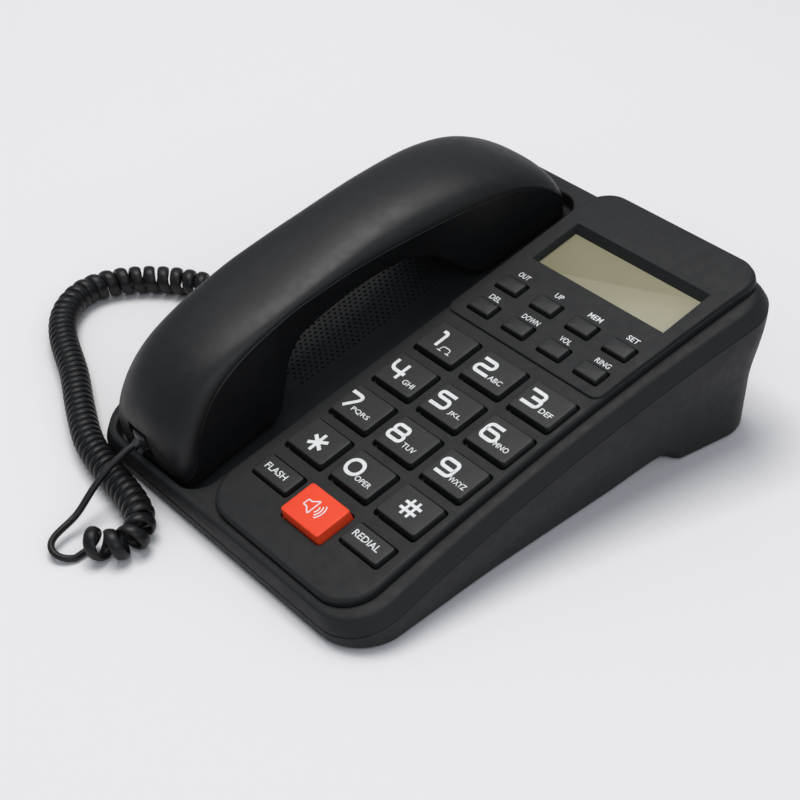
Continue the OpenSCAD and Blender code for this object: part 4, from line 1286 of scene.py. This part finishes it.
ink_h = 0.04
ink_sunk = 0.01


def print_strokes(name, strokes, width, corner, height, body):
    """Prints ribbons of ink. A stroke is (points, closed, radius of its corners).

    Each stroke lies a hair higher than the one before it.
    """
    points = []
    faces = []
    for i, (line, closed, radius) in enumerate(strokes):
        line = [np.array(corner) + p for p in rounded(line, radius, closed)]
        lift = height + ink_h + 0.008 * i
        new_points, new_faces = ribbon(line, width, height - 0.2, lift, closed)
        faces += [tuple(len(points) + k for k in face) for face in new_faces]
        points += new_points
    form = add(name, outward_mesh(name, points, faces))
    piece(form, name, ink, body=body)


figures = {
    "0": [([(0.75, 0.75), (7.85, 0.75), (7.85, 7.25), (0.75, 7.25)], True, 3.2)],
    "1": [([(0.3, 7.2), (2.9, 7.2), (2.9, 0.1)], False, 1.9)],
    "2": [([(0.6, 7.25), (7.6, 7.25), (7.6, 4), (0.75, 4), (0.75, 0.75), (8.4, 0.75)], False, 1.7)],
    "3": [
        ([(0.3, 7.25), (7.6, 7.25), (7.6, 4.05), (2.8, 4.05)], False, 1.7),
        ([(6.2, 4.05), (8, 4.05), (8, 0.75), (0.2, 0.75)], False, 1.7),
    ],
    "4": [([(0.6, 7.9), (0.6, 3.3), (8.4, 3.3)], False, 2.4), ([(6.4, 7.9), (6.4, 0.1)], False, 1)],
    "5": [([(8.1, 7.25), (0.9, 7.25), (0.9, 4.6), (8, 4.6), (8, 0.75), (0.3, 0.75)], False, 1.7)],
    "6": [([(7.4, 7.25), (0.75, 7.25), (0.75, 0.75), (7.9, 0.75), (7.9, 4.5), (0.9, 4.5)], False, 1.8)],
    "7": [([(0.3, 7.25), (8, 7.25), (2.4, 0.1)], False, 1.6)],
    "8": [
        ([(1, 4.05), (7.4, 4.05), (7.4, 7.25), (1, 7.25)], True, 1.7),
        ([(0.75, 0.75), (7.85, 0.75), (7.85, 4.1), (0.75, 4.1)], True, 1.7),
    ],
    "9": [([(1, 0.75), (7.9, 0.75), (7.9, 7.25), (0.75, 7.25), (0.75, 3.7), (7.7, 3.7)], False, 1.8)],
    "hash": [
        ([(3, 0.3), (3, 7.7)], False, 1), ([(5.9, 0.3), (5.9, 7.7)], False, 1),
        ([(0.4, 2.6), (8.5, 2.6)], False, 1), ([(0.4, 5.4), (8.5, 5.4)], False, 1),
    ],
    "star": [
        ([(4.2, -0.2), (4.2, 8.2)], False, 1), ([(0.6, 1.9), (7.8, 6.1)], False, 1),
        ([(0.6, 6.1), (7.8, 1.9)], False, 1),
    ],
}
figure_offsets = {
    "1": 4.7, "2": 1.7, "3": 2.1, "4": 2.1, "5": 1.7, "6": 2.25, "7": 0.7, "8": 1.1, "9": 1.9,
    "0": 1.25, "star": 6.7, "hash": 6,
}
figure_rise = 4.1
stroke_w = 1.5
for figure, strokes in figures.items():
    name = "key_" + figure
    key = key_places[name]
    foot = key.s - key.l / 2 + figure_rise - (figure == "star")
    corner = (key.x - key.w / 2 + figure_offsets[figure], foot)
    width = stroke_w if figure != "hash" else 1.2
    print_strokes(name + "_figure", strokes, width, corner, key.top - ink_sunk, name + "_button")


# %% Small letters
def print_text(name, words, left, foot, height, width, rise, body):
    """A word in ink: its left foot corner, cap height, width and height off the slope."""
    curve = bpy.data.curves.new(name, "FONT")
    curve.body = words
    curve.extrude = (ink_h + 0.2) / 2
    curve.offset = 0.012
    curve.resolution_u = 3
    letters = add(name, curve)
    shown = letters.evaluated_get(bpy.context.evaluated_depsgraph_get())
    mesh = bpy.data.meshes.new_from_object(shown)
    bpy.data.objects.remove(letters)
    low = [min(v.co[k] for v in mesh.vertices) for k in (0, 1)]
    high = [max(v.co[k] for v in mesh.vertices) for k in (0, 1)]
    for corner in mesh.vertices:
        x = left + (corner.co.x - low[0]) / (high[0] - low[0]) * width
        s = foot + (corner.co.y - low[1]) / (high[1] - low[1]) * height
        corner.co = (x, s, rise + (ink_h if corner.co.z > 0 else -0.2))
    piece(add(name, mesh), name, ink, body=body)


words_on_keys = {
    "2": ("ABC", 10.8, 6.6), "3": ("DEF", 11.9, 6.2), "4": ("GHI", 12.3, 5.9), "5": ("JKL", 12.1, 6.1),
    "6": ("MNO", 10.8, 7.1), "7": ("PQRS", 7.5, 9.5), "8": ("TUV", 10.8, 6.6), "9": ("WXYZ", 10.4, 8.4),
    "0": ("OPER", 9.4, 8.1),
}
for figure, (words, offset, width) in words_on_keys.items():
    name = "key_" + figure
    key = key_places[name]
    print_text(
        name + "_letters", words, key.x - key.w / 2 + offset, key.s - key.l / 2 + figure_rise, 2.3,
        width, key.top - ink_sunk, name + "_button",
    )
for name, words, left, foot, width in (
    ("key_flash", "FLASH", -0.4, 27.25, 11.6), ("key_redial", "REDIAL", 50.3, 27.6, 13.6),
):
    rise = key_places[name].top - ink_sunk
    print_text(name + "_letters", words, left, foot, 2.75, width, rise, name + "_button")
legends = {
    "OUT": (-0.6, 151.3), "UP": (19.6, 151.3), "MEM": (37.6, 151.3), "SET": (57.6, 151.3),
    "DEL": (-0.6, 136.3), "DOWN": (17.7, 136.3), "VOL": (37.8, 136.3), "RING": (56.6, 136.3),
}
for words, (left, foot) in legends.items():
    width = {"UP": 3.9, "MEM": 6.6, "DOWN": 8.6, "RING": 7.2}.get(words, 5.6)
    print_text("legend_" + words.lower(), words, left, foot, 2.4, width, panel_top - 0.005, "base")

# %% Signs
def sound_wave(reach):
    turns = [math.radians(-42 + 10.5 * k) for k in range(9)]
    return [(4.6 + reach * math.cos(a), 3.6 + reach * math.sin(a)) for a in turns], False, 0.3


bell_arch = [
    ([(0, 0.2), (0, 2.6), (4.4, 2.6), (4.4, 0.2)], False, 2.2),
    ([(-1, 0.2), (1, 0.2)], False, 1), ([(3.4, 0.2), (5.4, 0.2)], False, 1),
]
horn = ([(0, 2.3), (1.9, 2.3), (4.6, 0.2), (4.6, 7), (1.9, 4.9), (0, 4.9)], True, 0.35)
for name, strokes, width, corner in (
    ("key_1", bell_arch, 0.42, (key_places["key_1"].x + 0.4, key_places["key_1"].s - 4.4)),
    ("key_speaker", [horn] + [sound_wave(reach) for reach in (2.1, 3.4, 4.7)], 0.55, (27.3, 22.4)),
):
    rise = key_places[name].top - ink_sunk
    print_strokes(name + "_sign", strokes, width, corner, rise, name + "_button")

# %% [markdown]
# ## The handset
# Two thin shells meet along a line that climbs from the nose over the side
# and falls again at the ear. The upper one is a long crown whose section is
# close to an ellipse, but squarer, the lower one a straight wall that thins
# to an arch in the middle, where fingers reach under. Sections every two
# millimetres keep the highlight along the crown clean.

# %% Lines of the handset
handset_l = 192.6
handset_w = 50
handset_under = -6.7
handset_t = 2
arch_h = 20
grip_in = 3.6
top_at = smooth_line([
    (0, 13), (1.1, 17), (2.7, 20), (6, 24), (12, 29), (20, 33), (30, 36), (44, 38.2), (60, 39.4),
    (82, 40.5), (106, 41), (124, 40.2), (140, 38.2), (152, 35.9), (160, 33.6), (168, 30.6),
    (176, 26.6), (183, 21.8), (188, 17.4), (191.2, 13.4), (192.6, 10),
])
side_at = smooth_line([
    (0, -3), (4, -1), (8, 3.6), (13, 12.4), (20, 20.8), (28, 26.4), (39, 30.6), (50, 33), (69, 35),
    (88, 34.4), (106, 32.8), (124, 30.6), (143, 27.8), (158, 24.6), (170, 20.6), (179, 15.2),
    (186, 8.4), (190, 3), (192.6, -2),
])
side_in_at = smooth_line([(0, 0.3), (20, 0.8), (40, 1), (96, 1), (130, 0.55), (160, 0.1), (192.6, 0)])
arch_at = smooth_line([
    (44, 0), (48, 0.1), (52, 0.3), (60, 0.72), (70, 0.93), (94, 1), (118, 0.93), (130, 0.7),
    (139, 0.3), (143, 0.1), (147, 0),
])


def round_in(reach, r):
    """How far a rounded end is drawn in at a distance from its tip."""
    return 0 if reach >= r else r - math.sqrt(r * r - (r - max(reach, 0)) ** 2)


def half_at(d):
    return handset_w / 2 - round_in(d, 10) - round_in(handset_l - d, 6) - grip_in * side_in_at(d)


def under_at(d):
    return mix(handset_under, arch_h, arch_at(d))


def tip_in(d):
    return round_in(d, 1.3) + round_in(handset_l - d, 1.3)


def outward(d, by):
    return d - by if d < handset_l / 2 else d + by


def ring_at(d, right):
    """A section from its right half, given from the parting line to the middle."""
    left = [(-x, h) for x, h in reversed(right) if x > 0.001]
    return [(handset_x + x, handset_s + d, h) for x, h in right + left]


section_gap = 0.1
lip_in = 0.28
squareness = 0.85


def upper_section(d, inset):
    """A section of the upper shell, or with an inset one of its hollow."""
    e = outward(d, inset)
    tip = 0 if inset else tip_in(d)
    w = half_at(e) - inset - tip
    low = side_at(d) + (-1 if inset else section_gap)
    high = top_at(e) - inset - tip
    right = [] if inset else [(w - lip_in, low)]
    for a in quarter(24):
        rise = (high - low - 0.25) * math.sin(a) ** squareness
        right.append((w * math.cos(a) ** squareness, low + (0 if inset else 0.25) + rise))
    right[-1] = (0, right[-1][1])
    return ring_at(d, right)


def lower_section(d, inset):
    """A section of the lower shell, or with an inset one of its hollow."""
    e = outward(d, inset)
    tip = 0 if inset else tip_in(d)
    w = half_at(e) - inset - tip
    b = w - mix(1, 5, arch_at(d))
    high = side_at(d) - (-1 if inset else section_gap)
    low = max(under_at(d - inset), under_at(d + inset)) + inset + tip
    r = min(3, (high - low) / 4)
    wall_line = through([
        (w, high - (0 if inset else 0.3), 0), (mix(w, b, 0.2), mix(high, low, 0.12), 0),
        (mix(w, b, 0.8), mix(high, low, 0.62), 0), (b, low + r, 0),
    ], 4)
    right = [] if inset else [(w - lip_in, high)]
    right += [(p[0], p[1]) for p in wall_line]
    for a in quarter(6)[1:]:
        right.append((b - r * (1 - math.cos(a)), low + r * (1 - math.sin(a))))
    return ring_at(d, right)


def handset_rings(section, inset=0):
    close = [0, 0.12, 0.4, 0.8, 1.3, 2, 3, 4, 5, 6, 7.5, 9, 10.5, 12]
    ends = close + [handset_l - d for d in reversed(close)]
    middle = np.arange(14, handset_l - 13, 2)
    places = sorted(set(ends) | set(middle))
    if inset:
        low, high = inset + 0.5, handset_l - inset - 0.5
        places = [inset] + [d for d in places if low < d < high] + [handset_l - inset]
    return [section(d, inset) for d in places]


print("handset rings:", len(handset_rings(upper_section)))

# %% Upper shell
shell = loft(handset_rings(upper_section))
carve(shell, handset_rings(upper_section, handset_t))
pocket = round_rect(12.5, 11.5, 0.4, 3, (0, handset_jack_h))
pocket_cut = [[(handset_x + x, handset_s + d, h) for x, h in pocket] for d in (-2, 11)]
carve(shell, pocket_cut)
piece(
    shell, "handset_upper_half", handset_plastic, body="handset", replaces=["handset_outer_shell"],
)

# %% Lower shell
handset_screw_places = (38, 149.5)
receiver_place = 169.6
microphone_place = 22
shell = loft(handset_rings(lower_section))
carve(shell, handset_rings(lower_section, handset_t))
screw_tubes = [
    straight(circle(handset_x, handset_s + d, 7), handset_under + 0.5, 9)
    for d in handset_screw_places
]
join(shell, *screw_tubes)


def sound_hole(x, d, wide):
    outline = circle(handset_x + x, handset_s + d, wide, 16)
    return straight(outline, handset_under - 1, -4.2)


tools = [
    countersink(handset_x, handset_s + d, handset_under, 6.9, 0.35, 4, 12)
    for d in handset_screw_places
]
turns = [math.radians(60 * k) for k in range(6)]
for x, s in [(0, 0)] + [(6 * math.cos(a), 6 * math.sin(a)) for a in turns]:
    tools.append(sound_hole(x, receiver_place + s, 2.4))
tools += [sound_hole(3 * k, microphone_place, 1.6) for k in (-1, 0, 1)]
carve(shell, *tools)
piece(
    shell, "handset_lower_half", handset_plastic, body="handset", replaces=["handset_inner_shell"],
)

# %% [markdown]
# ## Plugs
# Each end of the cord has a small modular plug of smoky plastic. A plug has
# a soft body, a springy latch under it and a neck that tapers over the cord.
# They are drawn along their own length and then set in their jacks.

# %% Plug shapes
plug_w = 7.7
plug_h = 6.6
plug_depth = jack_l - 3.5
# Smoky polycarbonate, glossy
plug_plastic = mottled(
    "plug_plastic", ((0.012, 0.012, 0.013), (0.02, 0.02, 0.021)), (300, 3), (0.18, 0.3, 800, 2),
    (1900, 2), 0.00002, 0.4,
)


def plug_form(out, place):
    """A plug along x, its cord end at -out, put in place by a function."""
    def stack(*rows):
        """A stack of rings from rows of x, width, height and corner radius."""
        return [[place(x, y, z) for y, z in round_rect(w, h, r, 4)] for x, w, h, r in rows]

    body = stack(
        (-out + 2.2, 3.4, 3.4, 1.6), (-out + 2.6, 5.4, 4.6, 1.4),
        (-out + 3.2, plug_w - 0.5, plug_h - 0.5, 0.9), (-out + 3.6, plug_w, plug_h, 0.7),
        (plug_depth - 0.5, plug_w, plug_h, 0.7), (plug_depth, plug_w - 0.8, plug_h - 0.8, 0.4),
    )
    neck = stack((-out, 2.9, 2.9, 1.44), (-out + 0.9, 3.2, 3.2, 1.5), (-out + 2.5, 3.6, 3.6, 1.6))
    latch = []
    for x, drop in ((-out + 1, 1.6), (plug_depth - 4.5, 0.9), (plug_depth - 1.5, 0.5)):
        low = -plug_h / 2 - drop
        corners = ((-1.5, low), (1.5, low), (1.5, low + 0.7), (-1.5, low + 0.7))
        latch.append([place(x, y, z) for y, z in corners])
    form = loft(body)
    join(form, neck)
    return join(form, latch)


def in_base(x, y, z):
    return cord_jack_x - jack_l + x, cord_jack_y - y, cord_jack_z + z


def in_nose(x, y, z):
    return handset_x - y, handset_s + x, handset_jack_h + z


piece(
    plug_form(plug_out, in_base), "base_cord_plug", plug_plastic,
    replaces=["base_plug"], sloping=False,
)
piece(
    plug_form(handset_plug_out, in_nose), "handset_cord_plug", plug_plastic, body="handset",
    replaces=["handset_plug"],
)

# %% [markdown]
# ## Pieces that keep their CAD shape
# Boards, mats, loudspeaker, jacks, screws and feet are seen through gaps, from
# below or not at all. Their CAD shapes are right, so they only get their
# finishes: green boards with copper tracks, moulded rubber, pressed steel,
# paper cone and so on.

# %% Finishes of the inner pieces
def plain(name, dark, pale, gloss, grain, depth, metal=0.0):
    """A finish of mottled colour with a grain; metal is 1 for bare metal."""
    return mottled(
        name, (dark, pale), (grain * 0.2, 4), (*gloss, grain * 0.5, 3), (grain, 3), depth, 0.5,
        {"Metallic": metal},
    )


def circuit_board():
    """Green solder mask over copper tracks that run both ways."""
    finish, tree, shader = new_finish("circuit_board")
    wave = tree.nodes.new("ShaderNodeTexWave")
    wave.inputs["Scale"].default_value = 90
    wave.inputs["Distortion"].default_value = 6
    tracks = spread(tree, wave.outputs["Fac"], 0, 1, 0.7, 0.78)
    colour = blend_colours(tree, tracks, (0.012, 0.09, 0.035), (0.03, 0.18, 0.07))
    tree.links.new(colour, shader.inputs["Base Color"])
    tree.links.new(spread(tree, noise(tree, 600, 3), 0.3, 0.45), shader.inputs["Roughness"])
    tree.links.new(bump(tree, tracks, 0.00004, 0.5), shader.inputs["Normal"])
    return finish


grey_rubber = plain("grey_rubber", (0.2,) * 3, (0.26,) * 3, (0.6, 0.75), 1800, 0.00003)
black_rubber = plain("black_rubber", (0.012,) * 3, (0.03,) * 3, (0.65, 0.85), 1500, 0.00005)
steel = plain("steel", (0.42, 0.42, 0.43), (0.55, 0.55, 0.56), (0.22, 0.36), 1400, 0.00001, 1.0)
aluminium = plain(
    "aluminium", (0.66, 0.66, 0.67), (0.78, 0.78, 0.79), (0.25, 0.4), 1700, 0.00001, 1.0
)
paper_cone = plain(
    "paper_cone", (0.02, 0.02, 0.022), (0.05, 0.05, 0.052), (0.7, 0.9), 2200, 0.00008
)
black_plastic = plain(
    "black_plastic", (0.014, 0.014, 0.015), (0.022, 0.022, 0.023), (0.35, 0.5), 2600, 0.00003
)
display_back = plain(
    "display_back", (0.3, 0.29, 0.22), (0.36, 0.35, 0.27), (0.25, 0.4), 1200, 0.00001
)
kept = (
    (circuit_board(), "keypad_board main_board"),
    (display_back, "lcd_module"),
    (grey_rubber, "keypad_mat display_key_mat"),
    (black_rubber, "rubber_feet"),
    (paper_cone, "loudspeaker"),
    (aluminium, "speakerphone_microphone handset_receiver handset_microphone"),
    (case_plastic, "hook_plunger"),
    (black_plastic, "hook_switch line_jack handset_cord_jack handset_jack"),
    (steel, "speaker_retainer hook_spring handset_weight handset_screws case_screws board_screws"),
)
for finish, names in kept:
    for name in names.split():
        mesh = nodes[name].data
        if not mesh.materials:
            mesh.materials.append(finish)
        for i in range(len(mesh.materials)):
            mesh.materials[i] = finish
print("finished CAD nodes:", sum(len(names.split()) for finish, names in kept))
